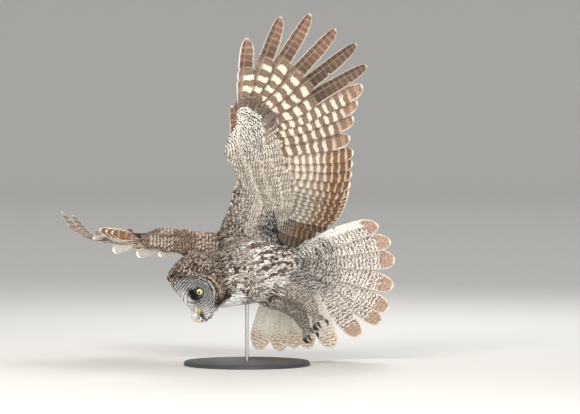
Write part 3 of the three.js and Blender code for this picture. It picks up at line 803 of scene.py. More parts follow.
# Small feathers: thin closed leaves laid along the skin, all of a piece in one mesh
leaf_places = np.array([0, 0.25, 0.55, 0.8, 0.95, 1])
leaf_widths = np.array([0.3, 0.85, 1, 0.82, 0.45, 0.12])
leaf_sides = 4
root_depth = 0.8  # how far a leaf's root sinks into the skin
lean_spread = 0.12
patch_half_width = 0.0015  # of the map that one leaf takes, in the unit square


def lay_leaves(skin, roots, normals, length, width, lift, rng):
    """Leaves that start at the roots and follow the skin, along the flow of the coat."""
    spine, ups, ways = [roots - normals * root_depth], [normals], []
    here, up = roots, normals
    lean = rng.normal(0, lean_spread, (len(roots), 1))
    for before, share in zip(leaf_places, leaf_places[1:]):
        flow = flow_and_parts(here)[0]
        way = flow - up * (flow * up).sum(1, keepdims=True)
        way = unit(way + np.cross(up, way) * lean)
        ways.append(way)
        here, up, _ = skin.nearest(here + way * ((share - before) * length)[:, None])
        spine.append(here + up * mix(-root_depth, lift, share ** 0.8)[:, None])
        ups.append(up)
    ways.append(ways[-1])
    return leaf_points(*(np.stack(x, 1) for x in (spine, ups, ways)), width, rng)


def leaf_points(spine, ups, ways, width, rng):
    """Four corners round each place of the spines: left, top, right and under."""
    sides = unit(np.cross(ways, ups))
    jitter = 1 + rng.normal(0, 0.1, (len(spine), len(leaf_places)))
    half = (width[:, None] * leaf_widths[None] * jitter / 2)[..., None]
    crown = half * 0.22
    left = spine + sides * half - ups * (crown * 0.5)
    right = spine - sides * half - ups * (crown * 0.5)
    top = spine + ups * (crown * 0.5 + 0.15)
    under = spine - ups * 0.25 + ups * (crown * 0.3)
    return np.stack([left, top, right, under], 2)


def small_feathers(name, points, roots, uvs, length, width, paint, rng):
    """One mesh of leaves with what their materials and the export's map need."""
    count, rings = len(roots), len(leaf_places)
    across = np.array([1, 0, -1, 0.0])
    along = leaf_places[None, :, None]
    shape, vane = np.zeros((2, count, rings, leaf_sides, 3))
    shape[..., 0] = across
    shape[..., 1] = along
    vane[..., 0] = (width[:, None] * leaf_widths[None] / 2)[..., None] * across
    vane[..., 1] = (length[:, None] * (1 - leaf_places[None]))[..., None]
    vane[..., 2] = rng.uniform(0, 1000, (count, 1, 1))
    patch = np.zeros((count, rings, leaf_sides, 2))
    patch[..., 0] = uvs[:, None, None, 0] + patch_half_width * across
    patch[..., 1] = uvs[:, None, None, 1] + patch_half_width * (2 * along - 1)
    flat = points.reshape(-1, 3)
    top = (rings - 1) * leaf_sides
    ends = [(0, 1, 2, 3), (top + 3, top + 2, top + 1, top)]
    leaf = np.concatenate([tube_quads(rings, leaf_sides)[:, [0, 3, 2, 1]], ends])
    attributes = {
        "Vane": vane.reshape(-1, 3), "Shape": shape.reshape(-1, 3),
        **paint(roots, flat, rings * leaf_sides, rng),
    }
    quads = repeated_quads(leaf, count, rings * leaf_sides)
    return array_mesh(name, flat, quads, attributes, patch.reshape(-1, 2))


# Markings of the plumage, as functions of the place on the owl: the ground's colour and the marks'
palette = {
    "breast": ("#efe9e1", "#533528"),
    "back": ("#a2968a", "#4d4038"),
    "crown": ("#cdbdad", "#3a2a21"),
    "nape": ("#e0d6ca", "#443228"),
    "leg": ("#d9cfc2", "#64574c"),
    "vent": ("#c4bfba", "#4a4543"),
    "lining": ("#e9e2d7", "#3a3029"),
    "arm": ("#c4baae", "#72675c"),
    "upper": ("#b39c8a", "#56443a"),
    # Painted shade: a greyed ground and near-black marks for the hollow under the raised wing
    "axilla_shade": ("#bfb8af", "#14110f"),
    "face": ("#b7b6b3", "#45423f"),
    "lores": ("#e6e4e0", "#a9a6a2"),
    "black": ("#161413", "#0d0c0b"),
    "rim": ("#4a2e21", "#33211a"),
    "edge": ("#cdb79b", "#8d755c"),
    "white": ("#ffffff", "#efece6"),
}
# Painted shade: feathers within about 20 mm of this line are painted near black, for the shade in the
# fold
crease_shade_line = [vec(-12, -48, 118), vec(22, -36, 88), vec(56, -4, 62)]  # the fold of the raised wing
streak_spacing = 24


def painted(layers):
    """Ground and marks colours of (palette name, weight) layers, later ones painted over."""
    colours = [np.zeros((len(layers[0][1]), 3))] * 2
    for name, weight in layers:
        weight = np.clip(weight, 0, 1)
        colours = [tint(old, new, weight) for old, new in zip(colours, palette[name])]
    return colours


def wave_field(points, period, seed):
    """A soft random field between about -1 and 1 with features of about the period."""
    rng = np.random.default_rng(seed)
    value = np.zeros(len(points))
    for _ in range(7):
        way = unit(rng.normal(size=3)) * 2 * math.pi / (period * rng.uniform(0.7, 1.4))
        value += np.sin(points @ way + rng.uniform(0, 6.28))
    return value / 3


def rim_share(local):
    """disc_share with the dark rim at 1: it runs a little lower over the brow."""
    return disc_share(local) / (1 - 0.1 * smoothstep(20, 50, local[:, 2]))


def face_paint(local):
    """The facial disc: grey with dark rings, black beside the bill, pale lores and a white chin."""
    _, distance = eye_offset(local)
    side, up = np.abs(local[:, 1]), local[:, 2]
    inner = np.exp(-(((side - 17) / 5.5) ** 2 + ((up - 6) / 12.5) ** 2) ** 1.5)
    lores = np.exp(-(((side - 5) / 6) ** 2)) * smoothstep(-30, -14, up) * (1 - smoothstep(24, 44, up))
    bow = np.exp(-(((side - 13) / 15) ** 2 + ((up + 42) / 19) ** 2))
    lid_ring = 1 - smoothstep(10.2, 12, distance)
    return painted([
        ("face", np.ones(len(local))),
        ("lores", lores * 0.8 + bow * 0.9),
        ("black", inner * 1.5 + lid_ring),
        ("white", smoothstep(-42, -52, up) * smoothstep(52, 42, side)),
    ])


def wing_side(points):
    """1 on the underside of either wing and 0 on its upper side."""
    under = np.zeros(len(points))
    nearest_gap = np.full(len(points), np.inf)
    for name, middles in wing_middles.items():
        gap = np.linalg.norm(points[:, None] - middles[None], axis=2)
        up = quill_frame(wings[name], 0, 0)["up"]
        here = smoothstep(1, -3, (points - middles[gap.argmin(1)]) @ up)
        under = np.where(gap.min(1) < nearest_gap, here, under)
        nearest_gap = np.minimum(gap.min(1), nearest_gap)
    return under


def plumage(points, shares):
    """Colours and pattern strengths of the small feathers at each place."""
    body = points @ body_axes
    local = to_head(points)
    out, left, height = local.T
    share = rim_share(local)
    radius = np.maximum(np.hypot(body[:, 1], body[:, 2]), 1)
    dorsal = smoothstep(0.45, 0.8, (0.34 * body[:, 2] - 0.94 * body[:, 1]) / radius)
    legs_here = share_of(shares, "leg", "toe")
    wings_here = share_of(shares, "wing")
    head_here = smoothstep(0.3, 0.7, shares["head"])
    neck_here = smoothstep(60, 105, body[:, 0])
    vent = smoothstep(-60, -100, body[:, 0])
    face = smoothstep(-12, -4, out) * smoothstep(0.995, 0.975, share)
    beside = smoothstep(3, 10, out)
    rim = beside * smoothstep(1.045, 1.03, share) * smoothstep(-64, -54, height)
    edge = beside * smoothstep(1.075, 1.06, share) * smoothstep(-40, -28, height)
    edge = edge * smoothstep(40, 15, height)
    throat = smoothstep(-38, -22, out) * smoothstep(-49, -56, height)
    throat = throat * np.exp(-((np.abs(left) / 48) ** 6))
    chin = np.exp(-((left / 10) ** 2 + ((height + 60) / 12) ** 2)) * (out > 25)
    # Painted shade in the hollow under the raised wing: a darker ground, near-black marks, and bars made
    # stronger and wider
    axilla_shade = np.exp(-((np.linalg.norm(points - axilla_place, axis=1) / 52) ** 4))
    under = wing_side(points)
    hand = smoothstep(245, 355, points[:, 2] - 0.3 * points[:, 0])  # against the arm, on the left wing
    colours = painted([
        ("breast", np.ones(len(points))),
        ("nape", 0.8 * neck_here),
        ("back", dorsal),
        ("vent", vent * (1 - dorsal)),
        ("crown", head_here),
        ("leg", legs_here),
        ("upper", wings_here * np.maximum(1 - under, 0.8 * shares["wing_right"])),
        ("arm", shares["wing_left"] * under * (1 - hand)),
        ("lining", shares["wing_left"] * under * hand),
        ("axilla_shade", axilla_shade),
        # Painted shade: near black along the fold of the raised wing
        ("black", 0.9 * smoothstep(20, 9, to_line(points, crease_shade_line)[0])),
        ("white", throat),
        ("edge", edge),
        ("rim", rim),
        ("black", chin * 1.4),
    ])
    ground, marks = (tint(old, new, face) for old, new in zip(colours, face_paint(local)))
    # Dark feathers stand in rows along the breast and flanks
    arc = np.arctan2(body[:, 2], body[:, 1]) * trunk_radius
    rows = np.sin(arc / streak_spacing * 2 * math.pi + 1.6 * wave_field(points, 110, 5))
    broken = wave_field(points, 55, 6)
    stripe = smoothstep(-0.05, 0.3, rows + 0.5 * broken) * (1 - dorsal) * (1 - vent)
    others = np.clip(head_here + wings_here + legs_here, 0, 1)
    streak = mix(stripe * (1 - 0.6 * neck_here), 0.1, others)
    bars = 0.38 + 0.5 * neck_here + 0.5 * dorsal + 0.6 * head_here + 0.6 * wings_here + 0.6 * legs_here
    bars = np.clip(bars + 0.35 * vent + axilla_shade, 0, 1) * (1 - 0.85 * np.clip(throat + edge, 0, 1))
    duty = 0.42 * head_here + 0.4 * axilla_shade + 0.18 * neck_here
    return ground, marks, np.stack([streak, bars, duty], -1)


# Materials of the plumage
fringe_colour = linear("#efe2cf")
wave_scale = 0.31416  # at which the bands of a Wave texture are one unit apart
ring_ripple = 1500.0  # units of the pattern's noise for each metre, so the disc's rings ripple finely


def bars_of(tree, vector, period, distortion, detail_scale=3.0):
    """Wavy bars along Y with this period: 0 in the middle of a gap, 1 in the middle of a bar."""
    inputs = {"Vector": vector, "Scale": wave_scale / period, "Distortion": distortion, "Detail": 1.0,
              "Detail Scale": detail_scale, "Detail Roughness": 0.5}
    return add(tree, "TexWave", inputs, wave_type="BANDS", bands_direction="Y", wave_profile="SIN")["Fac"]


def feather_inputs(tree):
    """What is painted on a feather: its vectors with their parts, and its two colours."""
    found = {}
    for name in ("Vane", "Shape", "Pattern"):
        found[name] = add(tree, "Attribute", {}, attribute_name=name)["Vector"]
        for axis, output in add(tree, "SeparateXYZ", {"Vector": found[name]}).items():
            found[name + axis] = output
    for name in ("Ground", "Marks"):
        found[name] = add(tree, "Attribute", {}, attribute_name=name)["Color"]
    return found


def barred_share(tree, at, bars, duty, speckle):
    """How dark a place is: bars widened by the duty and broken up by speckles about 3 mm across."""
    specks = add(tree, "TexNoise", {"Scale": 0.3, "Detail": 1, "Vector": at["Vane"]})["Fac"]
    broken = add(tree, "Math", {0: specks, 1: speckle, 2: -0.5 * speckle}, operation="MULTIPLY_ADD")[0]
    moved = add(tree, "Math", {0: bars, 1: duty}, operation="ADD")[0]
    total = add(tree, "Math", {0: moved, 1: broken}, operation="ADD")[0]
    return add(tree, "MapRange", {"From Min": 0.4, "From Max": 0.6, "Value": total},
               interpolation_type="SMOOTHSTEP")[0]


def finish_feather(tree, shader, at, colour, mottle_mm, barb_mm, roughness, ridge):
    """Mottling by dust and wear, the ribs of the barbs, and a dull or satin surface."""
    coords = add(tree, "TexCoord", {})["Object"]
    mottle = add(tree, "TexNoise", {"Scale": 1000 / mottle_mm, "Detail": 2, "Vector": coords})["Fac"]
    tone = add(tree, "MapRange", {"From Min": 0.25, "From Max": 0.75, "To Min": 0.74, "To Max": 1.2,
                                  "Value": mottle})[0]
    toned = add(tree, "VectorMath", {0: colour, "Scale": tone}, operation="SCALE")[0]
    # Barbs leave the shaft at a slant, so their ribs are drawn by a slanted distance. Real ones stand
    # under half a millimetre apart, too fine to show, so these are drawn coarser
    off_shaft = add(tree, "Math", {0: at["VaneX"]}, operation="ABSOLUTE")[0]
    slant = add(tree, "Math", {0: off_shaft, 1: at["VaneY"]}, operation="ADD")[0]
    line = add(tree, "CombineXYZ", {"Y": slant, "Z": at["VaneZ"]})[0]
    ribs = bars_of(tree, line, barb_mm, 0.5)
    bump = add(tree, "Bump", {"Strength": ridge, "Distance": 0.0004, "Height": ribs})[0]
    fill(tree, shader, {"Base Color": toned, "Normal": bump, "Roughness": roughness,
                        "Specular IOR Level": 0.25})


def small_feather_material(name, bar_mm, wobble, speckle, ringed=False):
    """Soft contour feathers of dull keratin: broken bars, a dark shaft streak, and painted shade towards
    the root.

    When it is ringed, the bars run in rings round the nearer eye, from feather to feather.
    """
    material, tree, shader = new_material(name)
    at = feather_inputs(tree)
    if ringed:
        ring = add(tree, "Attribute", {}, attribute_name="Ring")["Fac"]
        where = add(tree, "TexCoord", {})["Object"]
        spot = add(tree, "VectorMath", {0: where, "Scale": ring_ripple}, operation="SCALE")[0]
        parts = add(tree, "SeparateXYZ", {"Vector": spot})
        line = add(tree, "CombineXYZ", {"X": parts["X"], "Y": ring, "Z": parts["Z"]})[0]
        rings = bars_of(tree, line, bar_mm, wobble, detail_scale=2.0)
        dark = barred_share(tree, at, rings, -0.1, speckle)
    else:
        dark = barred_share(tree, at, bars_of(tree, at["Vane"], bar_mm, wobble), at["PatternZ"], speckle)
        barred = add(tree, "Math", {0: dark, 1: at["PatternY"]}, operation="MULTIPLY")[0]
        off_shaft = add(tree, "Math", {0: at["ShapeX"]}, operation="ABSOLUTE")[0]
        shaft = add(tree, "MapRange", {"From Min": 1.0, "From Max": 0.4, "Value": off_shaft},
                    interpolation_type="SMOOTHSTEP")[0]
        streaked = add(tree, "Math", {0: shaft, 1: at["PatternX"]}, operation="MULTIPLY")[0]
        dark = add(tree, "Math", {0: barred, 1: streaked}, operation="MAXIMUM")[0]
    colour = add(tree, "Mix", {"Factor": dark, 6: at["Ground"], 7: at["Marks"]}, data_type="RGBA")[2]
    # Painted shade: each feather darkens to half its colour towards its root, as if in the shade of the
    # feathers lying over it
    base = add(tree, "MapRange", {"From Min": 0.75, "From Max": 0.35, "To Min": 1.0, "To Max": 0.5,
                                  "Value": at["ShapeY"]})[0]
    colour_in_painted_root_shade = add(tree, "VectorMath", {0: colour, "Scale": base}, operation="SCALE")[0]
    finish_feather(tree, shader, at, colour_in_painted_root_shade, 4, 1.4, 0.85, 0.4)
    return material


def skin_material():
    """Down-covered skin under the feathers: dull tufts about 5 mm across, in the coat's colours."""
    material, tree, shader = new_material("down-covered skin")
    ground = add(tree, "Attribute", {}, attribute_name="Ground")["Color"]
    marks = add(tree, "Attribute", {}, attribute_name="Marks")["Color"]
    coords = add(tree, "TexCoord", {})["Object"]
    tufts = add(tree, "TexNoise", {"Scale": 180, "Detail": 3, "Vector": coords})["Fac"]
    share = add(tree, "MapRange", {"From Min": 0.35, "From Max": 0.65, "Value": tufts})[0]
    colour = add(tree, "Mix", {"Factor": share, 6: marks, 7: ground}, data_type="RGBA")[2]
    bump = add(tree, "Bump", {"Strength": 0.6, "Distance": 0.001, "Height": tufts})[0]
    fill(tree, shader, {"Base Color": colour, "Normal": bump, "Roughness": 0.95})
    return material


def vane_material(name, wobble, grain, speckle, roughness=0.6):
    """Firm vanes with a satin face: painted bars that waver across the barbs, and pale fringes."""
    material, tree, shader = new_material(name)
    at = feather_inputs(tree)
    across = add(tree, "Math", {0: at["VaneX"], 1: grain}, operation="MULTIPLY")[0]
    line = add(tree, "CombineXYZ", {"X": across, "Y": at["PatternX"], "Z": at["VaneZ"]})[0]
    dark = barred_share(tree, at, bars_of(tree, line, 1, wobble), at["PatternZ"], speckle)
    barred = add(tree, "Math", {0: dark, 1: at["PatternY"]}, operation="MULTIPLY")[0]
    colour = add(tree, "Mix", {"Factor": barred, 6: at["Ground"], 7: at["Marks"]}, data_type="RGBA")[2]
    fringe = add(tree, "Attribute", {}, attribute_name="Fringe")["Fac"]
    off_shaft = add(tree, "Math", {0: at["ShapeX"]}, operation="ABSOLUTE")[0]
    edge = add(tree, "MapRange", {"From Min": 0.8, "From Max": 0.92, "Value": off_shaft},
               interpolation_type="SMOOTHSTEP")[0]
    tip = add(tree, "MapRange", {"From Min": 8.0, "From Max": 4.0, "Value": at["VaneY"]},
              interpolation_type="SMOOTHSTEP")[0]
    border = add(tree, "Math", {0: edge, 1: tip}, operation="MAXIMUM")[0]
    fringed = add(tree, "Math", {0: border, 1: fringe}, operation="MULTIPLY")[0]
    edged = add(tree, "Mix", {"Factor": fringed, 6: colour, 7: fringe_colour}, data_type="RGBA")[2]
    finish_feather(tree, shader, at, edged, 5, 1.3, roughness, 0.3)
    return material


def plain_material(name, colour, roughness, scale=300, depth=0.0001, metallic=0.0, coat=0.0):
    """A hard finish with a fine, slightly uneven surface: its scale is the grains in a metre."""
    material, tree, shader = new_material(name)
    coords = add(tree, "TexCoord", {})["Object"]
    grain = add(tree, "TexNoise", {"Scale": scale, "Detail": 4, "Vector": coords})["Fac"]
    tone = add(tree, "MapRange", {"To Min": 0.85, "To Max": 1.15, "Value": grain})[0]
    tinted = add(tree, "VectorMath", {0: linear(colour)[:3], "Scale": tone}, operation="SCALE")[0]
    bump = add(tree, "Bump", {"Strength": 0.2, "Distance": depth, "Height": grain})[0]
    fill(tree, shader, {"Base Color": tinted, "Normal": bump, "Roughness": roughness,
                        "Metallic": metallic, "Coat Weight": coat})
    return material


def eye_material():
    """An eye: a clear wet cornea that glints, over a yellow iris and a round black pupil."""
    material, tree, shader = new_material("wet cornea over a yellow iris")
    gaze = add(tree, "Attribute", {}, attribute_name="Gaze")["Fac"]
    place_on_eye = add(tree, "MapRange", {"From Min": 0, "From Max": 11, "Value": gaze})[0]
    colour = add(tree, "ValToRGB", {"Fac": place_on_eye})["Color"]
    stops = [(0, "#050505"), (0.30, "#050505"), (0.33, "#b59a3a"), (0.4, "#e6d872"),
             (0.62, "#efe7a4"), (0.78, "#d8c662"), (0.85, "#15100c"), (1.0, "#15100c")]
    ramp = colour.node.color_ramp.elements
    while len(ramp) < len(stops):
        ramp.new(0.5)
    for element, (where, code) in zip(ramp, stops):
        element.position = where
        element.color = linear(code)
    fill(tree, shader, {"Base Color": colour, "Roughness": 0.25, "Coat Weight": 1.0,
                        "Coat Roughness": 0.02, "IOR": 1.38})
    return material


# Paint of the large feathers: colours and the phase, strength and width of their bars
bar_spacing = {  # millimetres from bar to bar
    "primary": 26, "secondary": 20.5, "root_waves": 12, "pointed": 19,
    "notched": 17.5, "past_notch": 32, "covert": 7.5, "tail_covert": 9, "tail": 10,
}


def coat_of_paint(shape, below, above, bars, fringe, tone):
    """What a vane's material reads: (ground, marks) colours below and above, and its bars."""
    under = shape[:, 2:] < 0
    ground, marks = (np.where(under, low, high) * tone for low, high in zip(below, above))
    pattern = np.stack([value + 0 * shape[:, 0] for value in bars], -1)
    return {"Ground": ground, "Marks": marks, "Pattern": pattern, "Fringe": fringe + 0 * shape[:, 0]}


def paint_flight(quill, vane, shape, rng):
    """Flight feathers: barred below, and grey-brown with paler bars above."""
    inner = smoothstep(0.02, -0.2, shape[:, 0]) * smoothstep(-0.99, -0.82, shape[:, 0])
    tone = rng.uniform(0.92, 1.08)
    from_tip = vane[:, 1]
    shift = rng.uniform(-0.1, 0.1)
    above = rgb("#957e6b"), rgb("#503e32")
    if quill["kind"] == "finger":
        light, dark, phase, strength, duty, fringe = finger_paint(quill, from_tip, shape, inner)
    elif quill["kind"] == "primary":
        light = tint("#ab8d76", "#dfd1be", smoothstep(38, 62, from_tip))
        light = tint(light, "#9c8471", (1 - inner) * 0.75)
        dark = tint("#866a58", "#806c5d", smoothstep(20, 90, from_tip))
        phase = from_tip / bar_spacing["primary"] + 0.1 + shift
        strength = mix(0.75, 1.0, smoothstep(20, 50, from_tip))
        duty = 0.12
        fringe = 1 - smoothstep(30, 60, from_tip)
    elif quill["kind"] == "secondary":
        base = smoothstep(45, 130, from_tip)
        near_hand = math.exp(-quill["number"] / 3)
        light = tint("#c4a98f", tint("#c0b6a8", "#dfd1be", near_hand), base)
        dark = tint("#755744", tint("#83786b", "#85705f", near_hand), base)
        closer = 0
        if quill["number"] >= secondary_count:
            # Towards their roots the innermost feathers turn near black with thin white waves: painted
            # shade of the hollow at the body
            start = 0.4 * quill["length"]
            deep = smoothstep(start, start + 35, from_tip)
            light = tint("#a08977", "#a9a198", deep)
            dark = tint("#67513f", "#1a1614", deep)
            shift = 4 * shift
            closer = np.maximum(from_tip - start, 0) / bar_spacing["root_waves"]
        phase = from_tip / bar_spacing["secondary"] + 0.05 + 2.2 * shift + closer
        strength = mix(1.0, 0.85, base)
        duty = mix(0.3, 0.05, base)
        fringe = 1 - smoothstep(8, 26, from_tip)
    else:
        light, dark = above = rgb("#b08e70"), rgb("#5f412f")
        phase = from_tip / bar_spacing["pointed"] + 2 * shift
        strength, duty, fringe = 0.85, 0.46, 0.8
    return coat_of_paint(shape, (light, dark), above, (phase, strength, duty), fringe * 0.95, tone)


def finger_paint(quill, from_tip, shape, inner):
    """An outer primary: brown past its notch, with cream blocks on the inner vane below it."""
    notch = quill["length"] * (0.44 - 0.012 * (quill["number"] - 4))
    past = smoothstep(notch + 6, notch - 6, from_tip)
    spacing = np.where(from_tip < notch, bar_spacing["notched"], bar_spacing["past_notch"])
    phase = (from_tip - notch) / spacing + 0.25
    brown = rgb("#866a58" if quill["number"] > 5 else "#725d4f")
    deep = smoothstep(notch * 0.35, notch * 0.95, from_tip)
    leading = smoothstep(0.0, 0.3, shape[:, 0])
    warm = tint(brown, brown * 0.5, np.maximum(deep, 0.7 * leading))
    light = tint(tint("#8b7565", "#e0d3bf", inner), warm * 1.3, past)
    dark = tint("#7c6656", warm * 0.72, past)
    fringe = np.maximum(0.6 * past * smoothstep(-0.3, 0.2, np.abs(shape[:, 0]) - 0.3), 0)
    fringe = np.maximum(fringe, 0.5 * (1 - smoothstep(14, 34, from_tip)))
    if quill["number"] == 9:
        white_edge = smoothstep(0.75, 0.95, shape[:, 0])
        light, dark = (tint(colour, "#f0ebe2", white_edge) for colour in (light, dark))
    return light, dark, phase, mix(1.0, 0.9, past), mix(0.06, 0.24, past), fringe


covert_colours = {
    "hand_edge": ("#ddd2c3", "#6f6055"),
    "hand": ("#efeae1", "#322923"),
    "arm_edge": ("#cbc1b4", "#877b70"),
    "arm": ("#c6bcb0", "#776b60"),
    # Painted shade: pale feathers under the right wing's leading edge, greyed to mid grey as they hang in
    # shade
    "upper": ("#b99c84", "#604838"),
    "pale": ("#b3aca6", "#8d7d70"),
    "tail": ("#cdc8c1", "#4a4441"),
    "cape": ("#8d796b", "#46372f"),
}
covert_fringes = {"edge": 0.2, "lining": 0.4, "pale": 1.0, "tail": 0.4, "cape": 0.4}


def paint_covert(quill, vane, shape, rng):
    """Coverts: finely barred brown above, wavy black and white below, plain at the hand's edge."""
    from_tip = vane[:, 1]
    zone = quill["zone"]
    if zone in ("edge", "lining"):
        arm_share = quill["arm_share"]
        hand, arm = ("hand_edge", "arm_edge") if zone == "edge" else ("hand", "arm")
        below = [tint(*pair, arm_share) for pair in zip(covert_colours[hand], covert_colours[arm])]
        if zone == "edge":
            plain = smoothstep(48, 36, from_tip) * smoothstep(0.5, 0.2, arm_share)
            below = [tint(*pair, plain) for pair in zip(below, ("#75665c", "#65574e"))]
        above = [rgb(code) for code in covert_colours["upper"]]
    else:
        below = above = [rgb(code) for code in covert_colours[zone]]
    spacing = bar_spacing["tail_covert" if zone == "tail" else "covert"]
    phase = from_tip / spacing + rng.uniform(-0.4, 0.4)
    strength = 0.4 if zone == "pale" else 0.95
    fringe = covert_fringes[zone] * (1 - smoothstep(4, 14, from_tip))
    if zone == "pale":
        fringe = fringe + 0.7
    return coat_of_paint(shape, below, above, (phase, strength, 0.02), fringe, rng.uniform(0.86, 1.12))


def paint_tail(quill, vane, shape, rng):
    """Tail feathers: whitish with broken grey-brown mottling and a plain tan tip."""
    tone = rng.uniform(0.96, 1.04)
    from_tip = vane[:, 1]
    number = quill["number"]
    tipped = smoothstep(44, 36, from_tip + 5 * np.sin(9 * shape[:, 0] + number))
    tipped = tipped * (1 if number < 7 else 0.3)
    banded = smoothstep(30, 42, from_tip) * smoothstep(72, 54, from_tip) * (1 if number < 7 else 0.4)
    near = smoothstep(120, 220, from_tip)
    light = tint(tint("#f0eae2", "#bfa592", tipped), "#c9c2b9", near)
    dark = tint(tint("#7a695b", "#a58876", tipped), "#5e554e", near)
    dark = tint(dark, "#6a4c3d", banded * 0.8)
    strength = 0.9
    if number == 0:
        plain = smoothstep(0.0, 0.15, shape[:, 0]) * (1 - tipped)
        light, dark = tint(light, "#f4f2ed", plain), tint(dark, "#e9e5dd", plain)
    # The outer feathers on the lower side are pale with faint bars, and are made whiter still as painted
    # light, for the light that shines through them
    if number > 6:
        pale = min(1, 0.5 + 0.17 * (number - 6))
        light, dark = tint(light, "#fdf6ea", pale), tint(dark, "#cda27c", pale)
        strength = strength * (1 - 0.85 * pale * smoothstep(35, 70, from_tip))
    phase = from_tip / bar_spacing["tail"] + rng.uniform(0, 1)
    bars = phase, strength, mix(-0.02, 0.1, near)
    fringe = np.maximum(1 - smoothstep(40, 75, from_tip), 0.4)
    return coat_of_paint(shape, (light, dark), (light, dark), bars, fringe, tone)


# Stage and light, in metres
floor_radius = 14
wall_curve = 3
wall_top = 7
stage_steps = 96


def make_stage():
    """A round floor that curves up into a wall, wide enough to stand around the camera."""
    bm = bmesh.new()
    curve = [math.radians(6 * i) for i in range(16)]
    profile = [(0, 0), (4, 0)]
    for t in curve:
        profile.append((floor_radius + wall_curve * math.sin(t), wall_curve - wall_curve * math.cos(t)))
    profile.append((floor_radius + wall_curve, wall_top))
    line = [bm.verts.new((x, 0, z)) for x, z in profile]
    edges = [bm.edges.new(pair) for pair in zip(line, line[1:])]
    bmesh.ops.spin(bm, geom=line + edges, cent=(0, 0, 0), axis=(0, 0, 1), angle=2 * math.pi,
                   steps=stage_steps)
    bmesh.ops.remove_doubles(bm, verts=bm.verts, dist=0.001)
    bmesh.ops.recalc_face_normals(bm, faces=bm.faces)
    floor = bpy.data.objects.new("Floor", bmesh_mesh("Floor", bm))
    bpy.context.collection.objects.link(floor)
    # Matt emulsion paint: no gloss, with a faint roller grain
    floor.data.materials.append(plain_material("matt painted floor", "#cfccc7", 0.9, scale=400))


def make_lights():
    """A large soft key from the left, a low fill from the front and a rim light from behind."""
    for name, where, target, size, watts, colour in (
        ("Key", (-1.2, -2.6, 2.8), (0, 0, 0.4), 1.7, 100, "#fffaf3"),
        ("Fill", (0.6, -3.2, 0.3), (0.1, 0, 0.4), 2.6, 88, "#ffffff"),
        ("Rim", (0.6, 2.2, 2.4), (0, 0, 0.4), 1.4, 45, "#ffffff"),
    ):
        data = bpy.data.lights.new(name, "AREA")
        data.shape = "DISK"
        data.size = size
        data.energy = watts
        data.color = linear(colour)[:3]
        lamp = bpy.data.objects.new(name, data)
        lamp.location = where
        aim(lamp, Vector(target) - Vector(where))
        bpy.context.collection.objects.link(lamp)
    world = bpy.data.worlds.new("Studio")
    world.use_nodes = True
    backdrop = {"Color": linear("#e8ebee"), "Strength": 0.9}
    fill(world.node_tree, world.node_tree.nodes["Background"], backdrop)
    bpy.context.scene.world = world
    bpy.context.scene.view_settings.view_transform = "Standard"


# The coat of small feathers: places on the skin, thinned out to a spacing, each with one leaf
candidates = 900000
most_leaves = 4400  # a leaf has 44 triangles, so this many keep a piece under 200,000
eye_clearing = 10.5
bristle_count = 520


def thin_out(points, spacing):
    """Keeps about one point for each cube of this spacing."""
    _, kept = np.unique(np.floor(points / spacing).astype(int), axis=0, return_index=True)
    return np.sort(kept)


def paint_small(where, flat, per_feather, rng):
    """Each small feather in the plumage's colours at its root, a little lighter or darker."""
    _, shares, on_face = flow_and_parts(where)
    ground, marks, pattern = plumage(where, shares)
    tone = rng.uniform(0.78, 1.18, (len(where), 1))
    pattern[:, 1] = np.clip(pattern[:, 1] * rng.uniform(0.55, 1.2, len(where)), 0, 1)
    flecked = smoothstep(0.3, 0.7, shares["head"] + 0.8 * shares["neck"]) * ~on_face
    pale = rng.random(len(where)) < 0.24
    pattern[:, 2] += rng.normal(0, 0.06, len(where)) + flecked * np.where(pale, -0.7, 0.26)
    coat = {"Ground": ground * tone, "Marks": marks * tone, "Pattern": pattern}
    coat = {key: np.repeat(values, per_feather, 0) for key, values in coat.items()}
    return {**coat, "Ring": eye_offset(to_head(flat))[1]}


